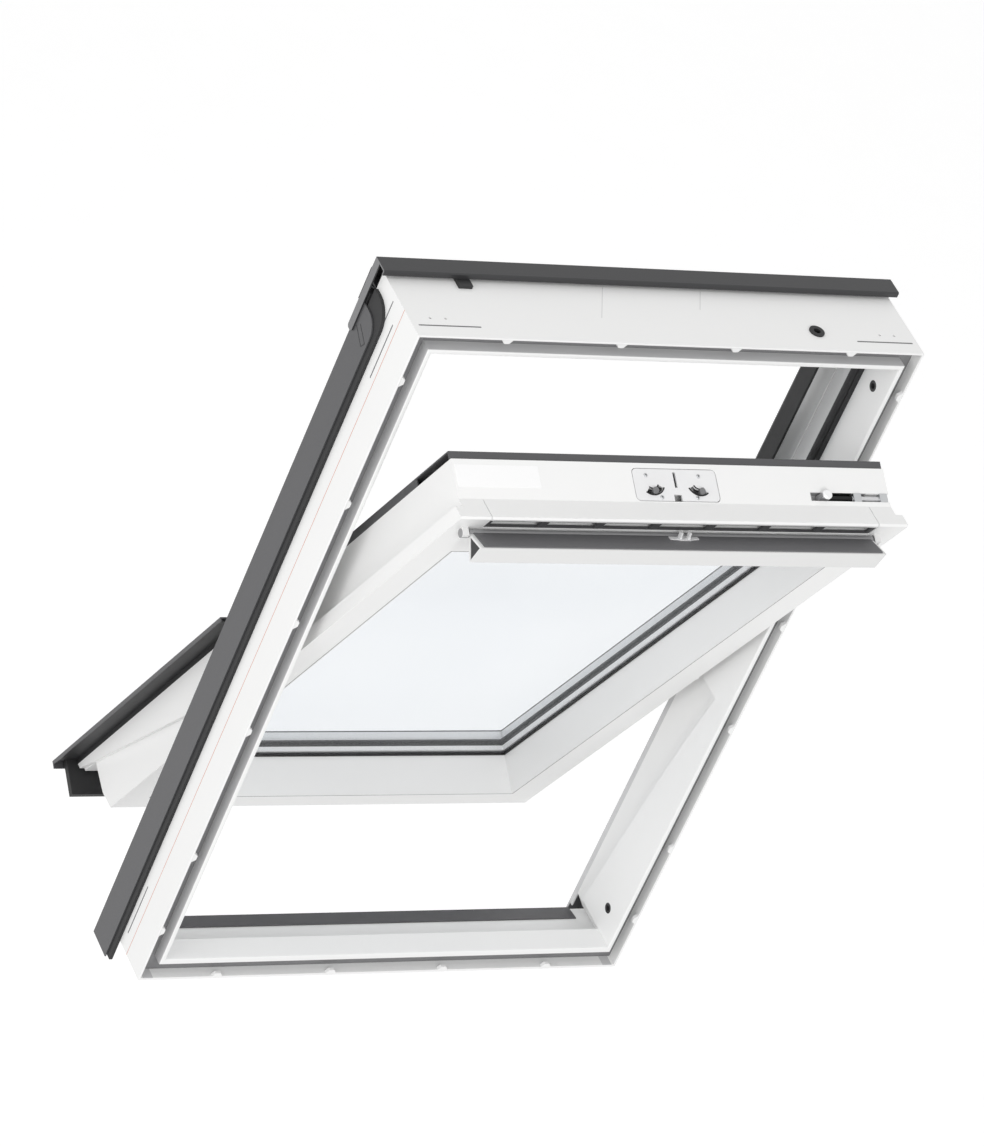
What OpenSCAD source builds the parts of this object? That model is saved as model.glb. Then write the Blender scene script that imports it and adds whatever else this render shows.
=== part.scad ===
// Centre-pivot roof window: fixed frame, pivoted sash, vent flap worked by a control bar, lock and barrel bolt.
// Axes: X across, Y from the room to the open air, Z up the slope. The sash stands open at rest.

/* [Frame] */
// Outer width of the frame
frame_w = 780; // [760:1:1000]
// Outer height of the frame
frame_h = 1178; // [1120:1:1400]
// Depth of the frame members
frame_depth = 113; // [108:0.5:120]
// Thickness of the thin outer edge beside the groove
face_w = 3; // [2.5:0.5:4]
// How far the thin outer edge stands into the room
edge_reach = 15; // [12:0.5:19]
// Width of the groove for the room lining
groove_w = 19; // [17:0.5:22]
// Depth at which the groove for the room lining ends
groove_depth = 4; // [2:0.5:6]
// Thickness of the lip beside the groove
lip_w = 7; // [6:0.5:8]
// How far the lip stands into the room
lip_reach = 16; // [12:0.5:20]
// Height of the sill at its lip
sill_h = 42; // [40:0.5:43]
// Depth of the sill
sill_depth = 102; // [98:0.5:103]
// Outer face of the sill lip
sill_lip_y = 26; // [20:0.5:27]
// Drop from the sill lip to the sloping sill
sill_drop = 25; // [24:0.5:26]
// Fall of the sloping sill
sill_fall = 13; // [10:0.5:15]
// Depth of the rebate in the stiles
rebate_depth = 11; // [8:0.5:12]
// Inner edge of the rebate in the upper half
upper_rebate_y = 68; // [67:0.5:69]
// Half height of the full stile block at the pivot
pivot_block_h = 80; // [70:1:90]
// Web between the lining groove and the tip of the curved rebate
step_web = 15; // [13:0.5:17]
// Radius of the sill lip's inner edge
edge_r = 4; // [2:0.5:5]
// Radius of the thin outer edge's corners
rim_r = 1; // [0.5:0.25:1.25]
// Radius of the edges of the lip
lip_r = 2; // [1:0.25:3]

/* [Pivot and angles] */
// Pivot axis beyond the outer face of the sash members
pivot_rise = 1; // [0:0.5:2]
// Radius of the pivot pin
pivot_pin_r = 8; // [6:0.5:9]
// Radius of the bearing eye round the pivot pin
eye_r = 14; // [12:0.5:15]
// Radial play of every pin in its own bore
pin_play = 0.05; // [0.02:0.01:0.1]
// Thickness of the pivot plate on the frame
pivot_plate_t = 4; // [3:0.5:4.5]
// Thickness of the hinge plate on the sash
hinge_plate_t = 3; // [2:0.5:4]
// Play between the bearing eye and the pivot plate
eye_play = 1.5; // [1:0.25:2]
// Half height of the pivot plate
pivot_plate_h = 38; // [30:1:42]
// Half height of the hinge plate
hinge_plate_h = 40; // [30:1:42]
// Inner edge of the pivot plate
pivot_plate_y = 70; // [66:1:80]
// Inner edge of the hinge plate
hinge_plate_y = 60; // [56:1:70]
// How far the sash stands open at rest, in degrees
open_angle = 26; // [20:1:30]
// Sash angle at which the bolt meets its upper bush
vent_angle = 6.5; // [6:0.1:7]
// Sash angle at which the bolt meets its lower bush
clean_angle = 164.5; // [164:0.1:165]
// How far the control bar stands open at rest, in degrees
flap_angle = 52; // [30:1:60]

/* [Sash] */
// Gap between the sash and the lip of the stile
side_gap = 17; // [16:0.5:18]
// From the top of the frame to the end face of the sash
top_gap = 71.7; // [71:0.1:74]
// From the foot of the frame to the room corner of the sash
foot_gap = 32; // [30:0.5:33]
// Room face of the closed sash
sash_room_y = 28.4; // [28:0.1:29]
// Outer face of the sash members
sash_body_y = 118; // [117.5:0.1:118.5]
// Width of the sash stiles
sash_stile_w = 46; // [42:0.5:48]
// Height of the sash top rail
sash_top_rail_h = 97.3; // [90:0.1:110]
// Height of the sash bottom rail at the room face
sash_bottom_rail_h = 43; // [40:0.5:50]
// Set-back of the sash sides in the upper half
upper_inset = 10.5; // [9:0.5:11]
// Depth of the room-side flange left in the upper half
flange_d = 20; // [16:0.5:24]
// How far the rebate panel of the lower half stands proud
panel_proud = 8; // [6:0.5:8]
// Height clear of the rebate panel and the set-back beside the pivot
pivot_clear_h = 45; // [43:0.5:50]
// Foot of the sash: middle depth
foot_mid_y = 57; // [52:0.5:60]
// Foot of the sash: fall to the middle
foot_mid_fall = 16; // [14:0.5:16]
// Foot of the sash: outer depth
foot_out_y = 100; // [96:0.5:101]
// Foot of the sash: fall to the outer end
foot_out_fall = 21.5; // [19:0.5:21.5]
// Inner face of the horn below the sill
horn_y = 106; // [105.5:0.5:108]
// How far the horn hangs below the frame
horn_drop = 31; // [25:0.5:31]
// Rise of the sloping crest above the end face
crest_rise = 14.7; // [12:0.1:15]
// Depth at which the sloping crest starts
crest_y = 62.5; // [61:0.5:63]
// Depth of the crest's ridge behind the room face
crest_ridge_d = 3.1; // [2:0.1:4]
// Drop of the crest's front edge
crest_front_drop = 2; // [1:0.5:3]
// Depth of the panel's slanted edge at the horn
panel_low_y = 110; // [109.5:0.5:112]

/* [Glazing] */
// Thickness of one pane
pane_t = 4; // [3:0.5:4]
// Space between the panes
pane_space = 10; // [9:0.5:16]
// Depth of the rebate's shoulder behind the panes
glass_stop_y = 91; // [90:0.1:91]
// Thickness of the inner gasket bed
gasket_bed = 1.5; // [1:0.1:2]
// How far the panes reach into the rebate
pane_bite = 14; // [10:0.5:15]
// Free edge between the panes and the rebate
pane_play = 2; // [1.5:0.5:4]
// Width of the visible gasket bead
bead_w = 2; // [1.5:0.5:6]
// Depth of the visible gasket bead
bead_d = 2.5; // [2:0.5:6]
// How far the spacer shows inside the clear opening
spacer_show = 2.5; // [2:0.5:9]
// Thickness of the outer gasket bed
outer_bed = 2; // [1.5:0.5:2]
// How far the outer gasket shows inside the clear opening
outer_bed_show = 4; // [3:0.5:12]

/* [Covers] */
// Thickness of the cover sheets
sheet_t = 2; // [1:0.25:2.5]
// Height of the sash covers over the sash
cover_h = 12; // [11:0.5:13]
// How far the sash covers stay outside the clear opening
cover_set = 5; // [2:0.5:8]
// How far the lower sash covers overhang the sash sides
cover_overhang = 38; // [34:0.5:39]
// Start of the overhang below the pivot
overhang_start = 70; // [68:1:90]
// How far the bottom cover hangs below the frame
cover_drop = 51; // [46:0.5:54]
// Depth of the overhang's downturned rim
rim_d = 3.5; // [2.5:0.25:4]
// Gap between neighbouring covers
cover_gap = 0.5; // [0.3:0.1:1]
// Gap between the top of the sash cover and the end face
top_cover_set = 3.4; // [2:0.1:5]
// Thickness of the black carrier under the overhang
carrier_t = 3; // [2:0.25:3.25]
// Depth of the skirt below the bottom cover
skirt_d = 56; // [40:1:60]
// Thickness of the skirt
skirt_t = 10; // [6:0.5:10]
// Set-back of the skirt from the rim of the bottom cover
skirt_set = 8; // [6:0.5:10]
// Set-in of the skirt's ends from the overhang's ends
skirt_inset = 14; // [12:0.5:20]
// Gap between the frame's side and its side cover
side_cover_gap = 5; // [4:0.5:6]
// Depth of the side cover's skirt
side_skirt_d = 50; // [43:0.5:51]
// Height of the side cover over the frame's outer edge
side_cover_h = 10; // [9:0.25:10]
// Width of the side cover's outer sheet
side_cover_w = 25; // [22:0.5:26]
// How far the side covers hang below the frame
side_cover_drop = 41; // [30:0.5:46]
// From the frame's top to the end of the side cover's outer sheet
side_sheet_gap = 89; // [77:1:109]
// From the frame's top to the end of the side cover's tongue
side_tongue_gap = 54; // [49:1:69]
// Corner radius of the side cover's tongue
tongue_r = 26; // [16:0.5:30]
// From the frame's top to the end of the side cover's black gasket
side_gasket_gap = 25; // [20:1:45]
// Corner radius of the black gasket's upper end
side_gasket_r = 34; // [20:0.5:40]
// Set-back of the black gasket from the frame's outer edge
side_gasket_set = 4; // [2:0.5:6]
// Depth of the side cover's black gasket
side_gasket_d = 46; // [40:0.5:48]
// Start of the raised upper covers above the pivot
raised_start = 145; // [145:1:170]
// Height of the raised covers over the frame's outer edge
raised_h = 30; // [28:0.5:31]
// Inner edge of the raised covers beside the sash
raised_gap = 2.5; // [2:0.25:3]
// Width of the flat crown of the raised covers
crown_w = 10; // [8:0.5:14]
// Rise of the raised cover's foot
raised_foot_h = 2.5; // [2:0.25:3]
// Thickness of the hanging outer gaskets
hang_gasket_t = 4; // [3:0.5:4]
// Depth of the hanging outer gaskets
hang_gasket_d = 30; // [26:0.5:31]
// Play round the white lining under the raised covers
lining_play = 0.3; // [0.2:0.05:0.5]
// Thickness of the white lining
lining_t = 2; // [1.5:0.25:2.5]

/* [Top casing] */
// Rise of the casing over the frame's top
casing_rise = 13; // [11:0.5:16]
// Set-back of the casing's room edge from the frame's outer edge
casing_set = 14; // [9:0.5:21]
// Height of the casing's downturned room edge
casing_lip_h = 8; // [6:0.5:9]
// Height over the frame's outer edge at which the casing turns over
casing_turn_h = 15; // [11:0.5:19]
// Fall of the casing's sloping sheet
casing_fall = 30; // [24:0.5:40]
// Overlap of the casing past the side covers
casing_play = 0.3; // [0.3:0.1:1]
// Height of the casing's side returns over the frame's outer edge
return_h = 2; // [1:0.5:7]
// Length of the casing's side returns
return_len = 116; // [90:1:120]
// Radius at the foot of the casing's side returns
return_r = 5; // [2:0.5:6]
// Gap between the closed sash and the casing's edge
casing_edge_gap = 3.7; // [3:0.1:6]
// Width of the casing clip
clip_w = 20; // [14:0.5:26]
// Depth of the casing clip
clip_d = 27; // [20:0.5:30]
// Distance of the casing clip from the frame's side
clip_set = 110; // [70:1:150]
// How far the clip shows past the casing's edge
clip_show = 14; // [6:0.5:16]

/* [Seals in the frame] */
// Room edge of the inner gasket
inner_gasket_y = 48; // [47:0.5:50]
// Depth of the inner gasket's base
inner_gasket_d = 16; // [12:0.5:17]
// Reach of the inner gasket's base
inner_gasket_w = 8; // [6:0.5:8]
// Radius of the inner gasket's bulb
bulb_r = 6; // [4:0.5:6]
// Start of the inner gasket above the pivot
inner_gasket_low = 100; // [100:1:130]
// End of the inner gasket below the frame's top
inner_gasket_end = 44; // [40:1:60]

/* [Sill cover] */
// Inner edge of the sill cover
sill_cover_y = 77; // [70:0.5:82]
// Drop of the sill cover's apron below the sill's foot
sill_apron = 11; // [6:0.5:16]
// Gap between the sill cover and the stiles
sill_cover_gap = 1; // [0.5:0.25:3]

/* [Vent and control bar] */
// Height of the control bar's axis below the end face
flap_axis_drop = 18.3; // [18:0.1:19]
// Distance of the control bar's axis from the room face
flap_axis_d = 6.4; // [6.2:0.1:7]
// Radius of the control bar's pins
flap_pin_r = 3; // [2:0.25:3.5]
// Radius of the control bar's knuckle
knuckle_r = 5.5; // [5:0.25:5.75]
// Height of the control bar's face
bar_h = 42; // [36:0.5:43]
// Reach of the control bar into the room
bar_reach = 33; // [26:0.5:36]
// Height of the control bar's grip edge
bar_grip_h = 24; // [20:0.5:28]
// Offset of the control bar's face from its axis
bar_face_d = 2; // [1.5:0.25:2]
// How far the control bar reaches past the clear opening on the left
bar_left_lap = 20; // [10:0.5:20]
// How far the control bar reaches past the clear opening on the right
bar_right_lap = 5; // [2:0.5:20]
// Radius of the control bar's grip edge
bar_grip_r = 4; // [2:0.5:6]
// Thickness of the dark liner
liner_t = 2; // [1:0.25:2]
// Bare edge beside the dark liner
liner_edge = 5; // [3:0.5:8]
// Width of one flap bracket
flap_bracket_w = 9; // [7:0.5:12]
// Gap between the control bar and a flap bracket
flap_bracket_gap = 2; // [1:0.25:3]
// Height of a flap bracket
flap_bracket_h = 14; // [12:0.5:16]
// Reach of a flap bracket
flap_bracket_d = 12.4; // [12:0.1:13]
// Length of a flap pin
flap_pin_l = 14; // [8:0.5:18]
// Height of the vent channel's floor below the end face
vent_floor_drop = 14.3; // [13:0.1:15]
// Depth of the vent channel
vent_back_y = 58; // [56:0.5:59]
// Drop of the strip's seat below the end face
strip_seat_drop = 2.3; // [1.5:0.1:3]
// Height of the vent grille
grille_h = 23; // [20:0.5:23]
// Thickness of the vent grille
grille_t = 3.5; // [2.5:0.5:4]
// Set-back of the vent grille behind the room face
grille_set = 1.1; // [0.8:0.1:1.5]
// Gap at the ends of the grille and strip
vent_end_gap = 1; // [0.5:0.25:2]
// Number of slots in the grille
grille_slots = 7; // [5:1:9]
// Width of the bars between the slots
grille_bar_w = 11; // [8:0.5:14]
// Lower edge of the slots over the grille's foot
grille_slot_low = 2.5; // [2:0.25:3]
// Height of the slots
grille_slot_h = 16.5; // [15:0.5:17]
// Front edge of the filter
filter_y = 45; // [42:0.5:48]
// Depth of the filter
filter_d = 12; // [8:0.5:12]
// Height of the filter
filter_h = 8.5; // [6:0.5:9]
// Thickness of the link's foot
link_foot_t = 1.5; // [1:0.25:1.5]
// Half width of the link
link_half_w = 8; // [6:0.5:10]
// Width of a link prong
link_prong_w = 3; // [2:0.5:3.5]
// Reach of the link prongs
link_reach = 10; // [8:0.5:10]
// Height of the link prongs
link_prong_h = 6; // [4:0.5:6]
// Height of the link's foot
link_foot_h = 11; // [9:0.5:12]
// Height of the link above the bar's axis
link_low = 7; // [6:0.5:8]

/* [Lock] */
// Half width of the lock plate
lock_half_w = 64; // [60:0.5:70]
// Room edge of the lock plate
lock_y = 65; // [64.5:0.5:66]
// Depth of the lock plate
lock_d = 45; // [43:0.5:46]
// Thickness of the lock plate
lock_plate_t = 3; // [2:0.25:3]
// Set-back of the lock plate below the end face
lock_set = 0.3; // [0.2:0.1:0.8]
// Gap round the lock plate
lock_gap = 1; // [0.5:0.25:1]
// Corner radius of the lock plate
lock_corner_r = 6; // [3:0.5:8]
// Depth of the lock pocket
lock_pocket_d = 14.3; // [13.5:0.1:16]
// Distance of each claw's axis from the middle
claw_x = 36; // [34:0.5:40]
// Depth of the claws' axes
claw_y = 92; // [90:0.5:94]
// Radius on which a claw's finger runs
claw_r = 14; // [12:0.25:15]
// Radius of a claw's finger
finger_r = 2.5; // [2:0.25:2.75]
// Width of the claw slots
claw_slot_w = 7; // [6.2:0.1:8]
// Arc of a claw slot before the finger's rest place
claw_slot_back = 62; // [60:1:70]
// Arc of a claw slot beyond the finger's rest place
claw_slot_fore = 36; // [34:1:50]
// Radius of a claw's pin
claw_pin_r = 3; // [2.5:0.25:3.25]
// Radius of a claw's hub
claw_hub_r = 5; // [4.5:0.25:6]
// Thickness of a claw's hub
claw_hub_t = 3.5; // [3:0.25:4]
// Height of a claw's hub over the pocket floor
claw_hub_z = 3; // [2:0.25:3.5]
// Height of a claw's finger over the lock plate
finger_h = 6; // [4:0.25:6]
// Thickness of a claw's head
claw_head_t = 3; // [2:0.25:3.5]
// Radius of a claw's head
claw_head_r = 4.5; // [3:0.1:5]
// Half width of the lock plate's middle slot
mid_slot_half_w = 2; // [1.5:0.25:4]
// Length of the lock plate's middle slot
mid_slot_l = 22; // [16:0.5:24]
// Depth at which the middle slot starts
mid_slot_y = 84; // [80:0.5:85]
// Half width of the lock plate's notch
notch_half_w = 6; // [4:0.5:8]
// Depth of the lock plate's notch
notch_d = 9; // [6:0.5:10]
// Radius of the lock case's posts
post_r = 3; // [2:0.25:3.5]
// Distance of the posts from the lock plate's edges
post_set = 6; // [5:0.5:7]
// Half width of the striker's base
striker_half_w = 30; // [24:0.5:40]
// Depth of the striker's base
striker_d = 30; // [24:0.5:36]
// Thickness of the striker's base
striker_t = 3; // [2:0.25:4]
// Half width of the striker's bow
bow_half_w = 12; // [9:0.5:14]
// Thickness of the striker's bow
bow_t = 4; // [3:0.25:5]
// Depth of the striker's bow
bow_d = 6; // [5:0.5:8]
// Gap between the bow and the closed sash
bow_gap = 2.7; // [2:0.1:4]

/* [Barrel bolt] */
// Radius of the bolt
bolt_r = 4; // [3:0.25:4]
// Depth of the bolt's axis
bolt_y = 75.3; // [75.1:0.1:75.5]
// Drop of the bolt's axis below the end face
bolt_drop = 5; // [4.5:0.1:5.5]
// Half width of the bolt's channel
channel_half_w = 6; // [5:0.25:6]
// Depth of the bolt's channel
channel_d = 10.8; // [10:0.1:11.5]
// Start of the bolt's channel from the sash's side
channel_l = 125.5; // [120:0.5:130]
// Length of the bolt
bolt_l = 109; // [104:0.5:110]
// Set-back of the bolt's tip from the sash's side
bolt_tip_set = 2.5; // [2:0.25:3]
// Length of the bolt's thumb lug
lug_l = 14; // [10:0.5:14]
// Half width of the bolt's thumb lug
lug_half_w = 3.5; // [2.5:0.25:4]
// Height of the bolt's thumb lug over the end face
lug_h = 8; // [5:0.5:10]
// Length of a bolt guide
guide_l = 12; // [8:0.5:14]
// Set-back of the outer bolt guide from the sash's side
guide_set = 3.5; // [2:0.5:5]
// Distance between the bolt guides
guide_pitch = 42; // [40:0.5:44]
// Height of the bolt guides over the end face
guide_h = 1.2; // [0.8:0.1:2]
// Depth of the bushes in the stile
bush_depth = 6; // [5.5:0.25:6]
// Outer radius of the bushes
bush_r = 8; // [7:0.25:8.5]
// Play between the bolt and the bushes
bush_play = 0.4; // [0.3:0.05:0.6]

/* [Grommet and bracket holes] */
// Distance of the cable grommet from the frame's side
grommet_set = 155; // [110:1:210]
// Depth of the cable grommet
grommet_y = 24; // [23.5:0.5:30]
// Bore of the cable grommet
grommet_bore_r = 5; // [3:0.25:5.5]
// Outer radius of the cable grommet
grommet_r = 8; // [7:0.25:8]
// Radius of the grommet's flange
grommet_flange_r = 11; // [10:0.25:12]
// Thickness of the grommet's flange
grommet_flange_t = 2; // [1:0.25:3]
// Play between a seated round piece and its seat
seat_play = 0.1; // [0.05:0.01:0.15]
// Distance of the bracket holes from the frame's side
bracket_set = 43; // [40:1:60]
// Spacing of the two bracket holes
bracket_pitch = 23; // [20:0.5:26]
// Depth of the bracket holes' row
bracket_y = 22; // [20:0.5:26]
// Radius of the bracket holes
bracket_hole_r = 2; // [1.5:0.1:2.5]
// Depth of the bracket holes
bracket_hole_d = 10; // [6:0.5:12]

/* [Hidden] */
$fn = 48;
overrun = 4;
member_w = face_w + groove_w + lip_w;
half_w = frame_w / 2;
half_h = frame_h / 2;
inner_x = half_w - member_w;
top_inner_z = half_h - member_w;
sill_top_z = sill_h - half_h;
sill_ratio = sill_h / member_w;
pivot_y = sash_body_y + pivot_rise;
sash_half_w = inner_x - side_gap;
clear_x = sash_half_w - sash_stile_w;
sash_top_z = half_h - top_gap;
sash_foot_z = foot_gap - half_h;
clear_top_z = sash_top_z - sash_top_rail_h;
clear_foot_z = sash_foot_z + sash_bottom_rail_h;
upper_x = sash_half_w - upper_inset;
panel_x = sash_half_w + panel_proud;
horn_z = -half_h - horn_drop;
crest_z = sash_top_z + crest_rise;
cover_y = sash_body_y + cover_h;
cover_in_y = cover_y - sheet_t;
overhang_x = sash_half_w + cover_overhang;
cover_foot_z = -half_h - cover_drop;
pane_x = clear_x + pane_bite;
pane_top_z = clear_top_z + pane_bite;
pane_foot_z = clear_foot_z - pane_bite;
inner_pane_y = glass_stop_y + gasket_bed;
outer_pane_y = inner_pane_y + pane_t + pane_space;
bed_y = outer_pane_y + pane_t;
rebate_x = pane_x + pane_play;
side_cover_x = half_w + side_cover_gap;
side_sheet_top = half_h - side_sheet_gap;
side_tongue_top = half_h - side_tongue_gap;
side_gasket_top = half_h - side_gasket_gap;
cover_in_x = clear_x + cover_set;
cover_low_z = clear_foot_z - cover_set;
cover_high_z = clear_top_z + cover_set;
bar_left_x = -clear_x - bar_left_lap;
bar_right_x = clear_x + bar_right_lap;
clip_x = half_w - clip_set;
grommet_x = half_w - grommet_set;
bracket_x = half_w - bracket_set;
step_tip_y = groove_depth + step_web;
side_sheet_y = frame_depth + side_cover_h;
side_sheet_x = side_cover_x + sheet_t - side_cover_w;
side_cover_y = side_sheet_y - side_skirt_d;
side_gasket_y = frame_depth - side_gasket_set - side_gasket_d;
casing_y = frame_depth - casing_set;
casing_turn_y = frame_depth + casing_turn_h;
return_y = frame_depth + return_h;
raised_y = frame_depth + raised_h;
raised_x = upper_x + raised_gap;
casing_x = side_cover_x + sheet_t + casing_play;
casing_z = half_h + casing_rise;
casing_edge_z = sash_top_z + casing_edge_gap;
flap_y = sash_room_y - flap_axis_d;
flap_z = sash_top_z - flap_axis_drop;
vent_z = sash_top_z - vent_floor_drop;
lock_floor_z = sash_top_z - lock_pocket_d;
lock_top_z = sash_top_z - lock_set;
lock_under_z = lock_top_z - lock_plate_t;
bolt_z = sash_top_z - bolt_drop;
bolt_tip_x = upper_x - bolt_tip_set;
channel_x = upper_x - channel_l;
// Bezier points of the curved rebate edge: shares of the depth past its tip and of the half height
step_shares = [[0.784, -1], [0.543, -0.815], [0.5, -0.56], [0, -0.136]];
step_count = 14;
corner_count = 6;
// Bezier points of the lining's cove: shares of its width from the gasket and of its height
cove_shares = [[0, 1], [0.6, 1], [1, 0.72], [1, 0.2]];
step_overrun_share = 1.01;
bar_core_share = 0.72;
white = [0.93, 0.93, 0.92];
grey_metal = [0.38, 0.39, 0.4];
black = [0.07, 0.07, 0.07];
clear_glass = [0.75, 0.85, 0.85, 0.35];
steel = [0.62, 0.63, 0.64];
dark = [0.25, 0.25, 0.26];

function bezier(p, t) =
  pow(1 - t, 3) * p[0] + 3 * t * pow(1 - t, 2) * p[1] + 3 * t * t * (1 - t) * p[2] + pow(t, 3) * p[3];
function step_y(share) = step_tip_y + share * (frame_depth - step_tip_y);
function step_point(t) = [step_y(bezier(step_shares, t)[0]), bezier(step_shares, t)[1] * half_h];
// Outline p with its corners rounded by the radii r, taken anticlockwise; a radius of zero keeps the corner
function out_normal(p, q) = [(q - p)[1], -(q - p)[0]] / norm(q - p);
function arc_of(c, m, k, r) =
  let (o = c - r * (m + k) / (1 + m * k), a = atan2(m[1], m[0]), b = atan2(k[1], k[0]), sweep = (b - a + 720) % 360)
  [for (i = [0 : corner_count]) o + r * [cos(a + sweep * i / corner_count), sin(a + sweep * i / corner_count)]];
function corner_of(p, c, q, r) = r == 0 ? [c] : arc_of(c, out_normal(p, c), out_normal(c, q), r);
function rounded(p, r) =
  let (n = len(p)) [for (i = [0 : n - 1]) each corner_of(p[(i + n - 1) % n], p[i], p[(i + 1) % n], r[i])];
// A point of the closed sash after the sash has turned by an angle about the pivot
function turned(y, z, a) =
  [pivot_y + (y - pivot_y) * cos(a) - z * sin(a), (y - pivot_y) * sin(a) + z * cos(a)];
function sill_z(y) = sill_top_z - sill_drop - sill_fall * (y - sill_lip_y) / (sill_depth - sill_lip_y);
upper_bush = turned(bolt_y, bolt_z, vent_angle);
lower_bush = turned(bolt_y, bolt_z, clean_angle);

// The row's origin is the middle of the sill's underside
module at_row() translate([0, -frame_depth / 2, half_h]) children();
module sash_pose() at_row() turn_about(pivot_y, 0, open_angle) children();
module flap_pose() sash_pose() turn_about(flap_y, flap_z, flap_angle) children();
module turn_about(y, z, a) translate([0, y, z]) rotate([a, 0, 0]) translate([0, -y, -z]) children();
module along_x(x0, x1) translate([x0, 0, 0]) rotate([90, 0, 90]) linear_extrude(height = x1 - x0) children();
module along_y(y0, y1) translate([0, y1, 0]) rotate([90, 0, 0]) linear_extrude(height = y1 - y0) children();
module along_z(z0, z1) translate([0, 0, z0]) linear_extrude(height = z1 - z0) children();
module block(a, b) translate(a) cube(b - a);
module rod_x(x0, x1, y, z, r) translate([x0, y, z]) rotate([0, 90, 0]) cylinder(r = r, h = x1 - x0);
module post(x, y, z0, z1, r) translate([x, y, z0]) cylinder(r = r, h = z1 - z0);
module to_left() mirror([1, 0, 0]) children();

module frame_top_rail() {
  color(white) at_row() difference() {
    intersection() {
      along_x(-half_w, half_w) polygon(rounded([
        [-edge_reach, half_h], [-edge_reach, half_h - face_w], [groove_depth, half_h - face_w],
        [groove_depth, top_inner_z + lip_w],
        [-lip_reach, top_inner_z + lip_w], [-lip_reach, top_inner_z], [frame_depth, top_inner_z],
        [frame_depth, half_h]], [rim_r, rim_r, 0, 0, lip_r, lip_r, 0, 0]));
      along_y(-lip_reach - overrun, frame_depth + overrun) polygon([
        [-half_w, half_h], [half_w, half_h], [inner_x, top_inner_z], [-inner_x, top_inner_z]]);
    }
    post(grommet_x, grommet_y, top_inner_z - overrun, half_h + overrun, grommet_r + seat_play);
    for (side = [-1, 1])
      for (hole = [-1, 1])
        post(side * bracket_x + hole * bracket_pitch / 2, bracket_y,
          half_h - bracket_hole_d, half_h + overrun, bracket_hole_r);
  }
}

module frame_sill() {
  color(white) at_row() intersection() {
    along_x(-half_w, half_w) polygon(rounded([
      [-edge_reach, -half_h], [sill_depth, -half_h], [sill_depth, sill_z(sill_depth)],
      [sill_lip_y, sill_z(sill_lip_y)],
      [sill_lip_y, sill_top_z], [-lip_reach, sill_top_z],
      [-lip_reach, sill_ratio * (face_w + groove_w) - half_h],
      [groove_depth, sill_ratio * (face_w + groove_w) - half_h],
      [groove_depth, sill_ratio * face_w - half_h], [-edge_reach, sill_ratio * face_w - half_h]],
      [rim_r, 0, 0, 0, edge_r, lip_r, lip_r, 0, 0, rim_r]));
    along_y(-lip_reach - overrun, frame_depth + overrun) polygon([
      [-half_w, -half_h], [half_w, -half_h], [inner_x, sill_top_z], [-inner_x, sill_top_z]]);
  }
}

module stile() {
  difference() {
    intersection() {
      along_z(-half_h, half_h) polygon(rounded([
        [half_w, -edge_reach], [half_w, frame_depth], [inner_x, frame_depth], [inner_x, -lip_reach],
        [inner_x + lip_w, -lip_reach], [inner_x + lip_w, groove_depth],
        [half_w - face_w, groove_depth], [half_w - face_w, -edge_reach]],
        [rim_r, 0, 0, lip_r, lip_r, 0, 0, rim_r]));
      along_y(-lip_reach - overrun, frame_depth + overrun) polygon([
        [half_w, half_h], [inner_x, top_inner_z], [inner_x, sill_top_z], [half_w, -half_h]]);
    }
    along_x(inner_x - overrun, inner_x + rebate_depth) polygon(concat(
      [[step_y(step_shares[0][0]), -half_h * step_overrun_share]],
      [for (i = [0 : step_count]) step_point(i / step_count)],
      [[frame_depth + overrun, step_shares[3][1] * half_h],
       [frame_depth + overrun, -half_h * step_overrun_share]]));
    block([inner_x - overrun, upper_rebate_y, pivot_block_h],
      [inner_x + rebate_depth, frame_depth + overrun, half_h + overrun]);
  }
}

module frame_left_stile() color(white) at_row() to_left() stile();

module frame_right_stile() {
  color(white) at_row() difference() {
    stile();
    for (bush = [upper_bush, lower_bush])
      rod_x(inner_x - overrun, inner_x + bush_depth, bush[0], bush[1], bush_r + seat_play);
  }
}

module pivot_plate() {
  block([inner_x - pivot_plate_t, pivot_plate_y, -pivot_plate_h], [inner_x, frame_depth, pivot_plate_h]);
  block([inner_x - pivot_plate_t, pivot_plate_y, -eye_r], [inner_x, pivot_y, eye_r]);
  rod_x(inner_x - pivot_plate_t, inner_x, pivot_y, 0, eye_r);
  rod_x(sash_half_w + eye_play, inner_x - pivot_plate_t / 2, pivot_y, 0, pivot_pin_r);
}

module left_pivot_plate() color(steel) at_row() to_left() pivot_plate();

module right_pivot_plate() color(steel) at_row() pivot_plate();

module bolt_bushes() {
  color(black) at_row() for (bush = [upper_bush, lower_bush]) difference() {
    rod_x(inner_x, inner_x + bush_depth, bush[0], bush[1], bush_r);
    rod_x(inner_x - overrun, inner_x + bush_depth + overrun, bush[0], bush[1], bolt_r + bush_play);
  }
}

module lock_striker() {
  bow_z = sash_top_z + bow_gap;
  bow_y = claw_y - claw_r - bow_d / 2;
  color(steel) at_row() union() {
    block([-striker_half_w, bow_y + bow_d / 2 - striker_d / 2, top_inner_z - striker_t],
      [striker_half_w, bow_y + bow_d / 2 + striker_d / 2, top_inner_z]);
    for (side = [-1, 1])
      translate([side * (bow_half_w - bow_t / 2), 0, 0])
        block([-bow_t / 2, bow_y, bow_z], [bow_t / 2, bow_y + bow_d, top_inner_z - striker_t / 2]);
    block([-bow_half_w, bow_y, bow_z], [bow_half_w, bow_y + bow_d, bow_z + bow_t]);
  }
}

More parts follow.
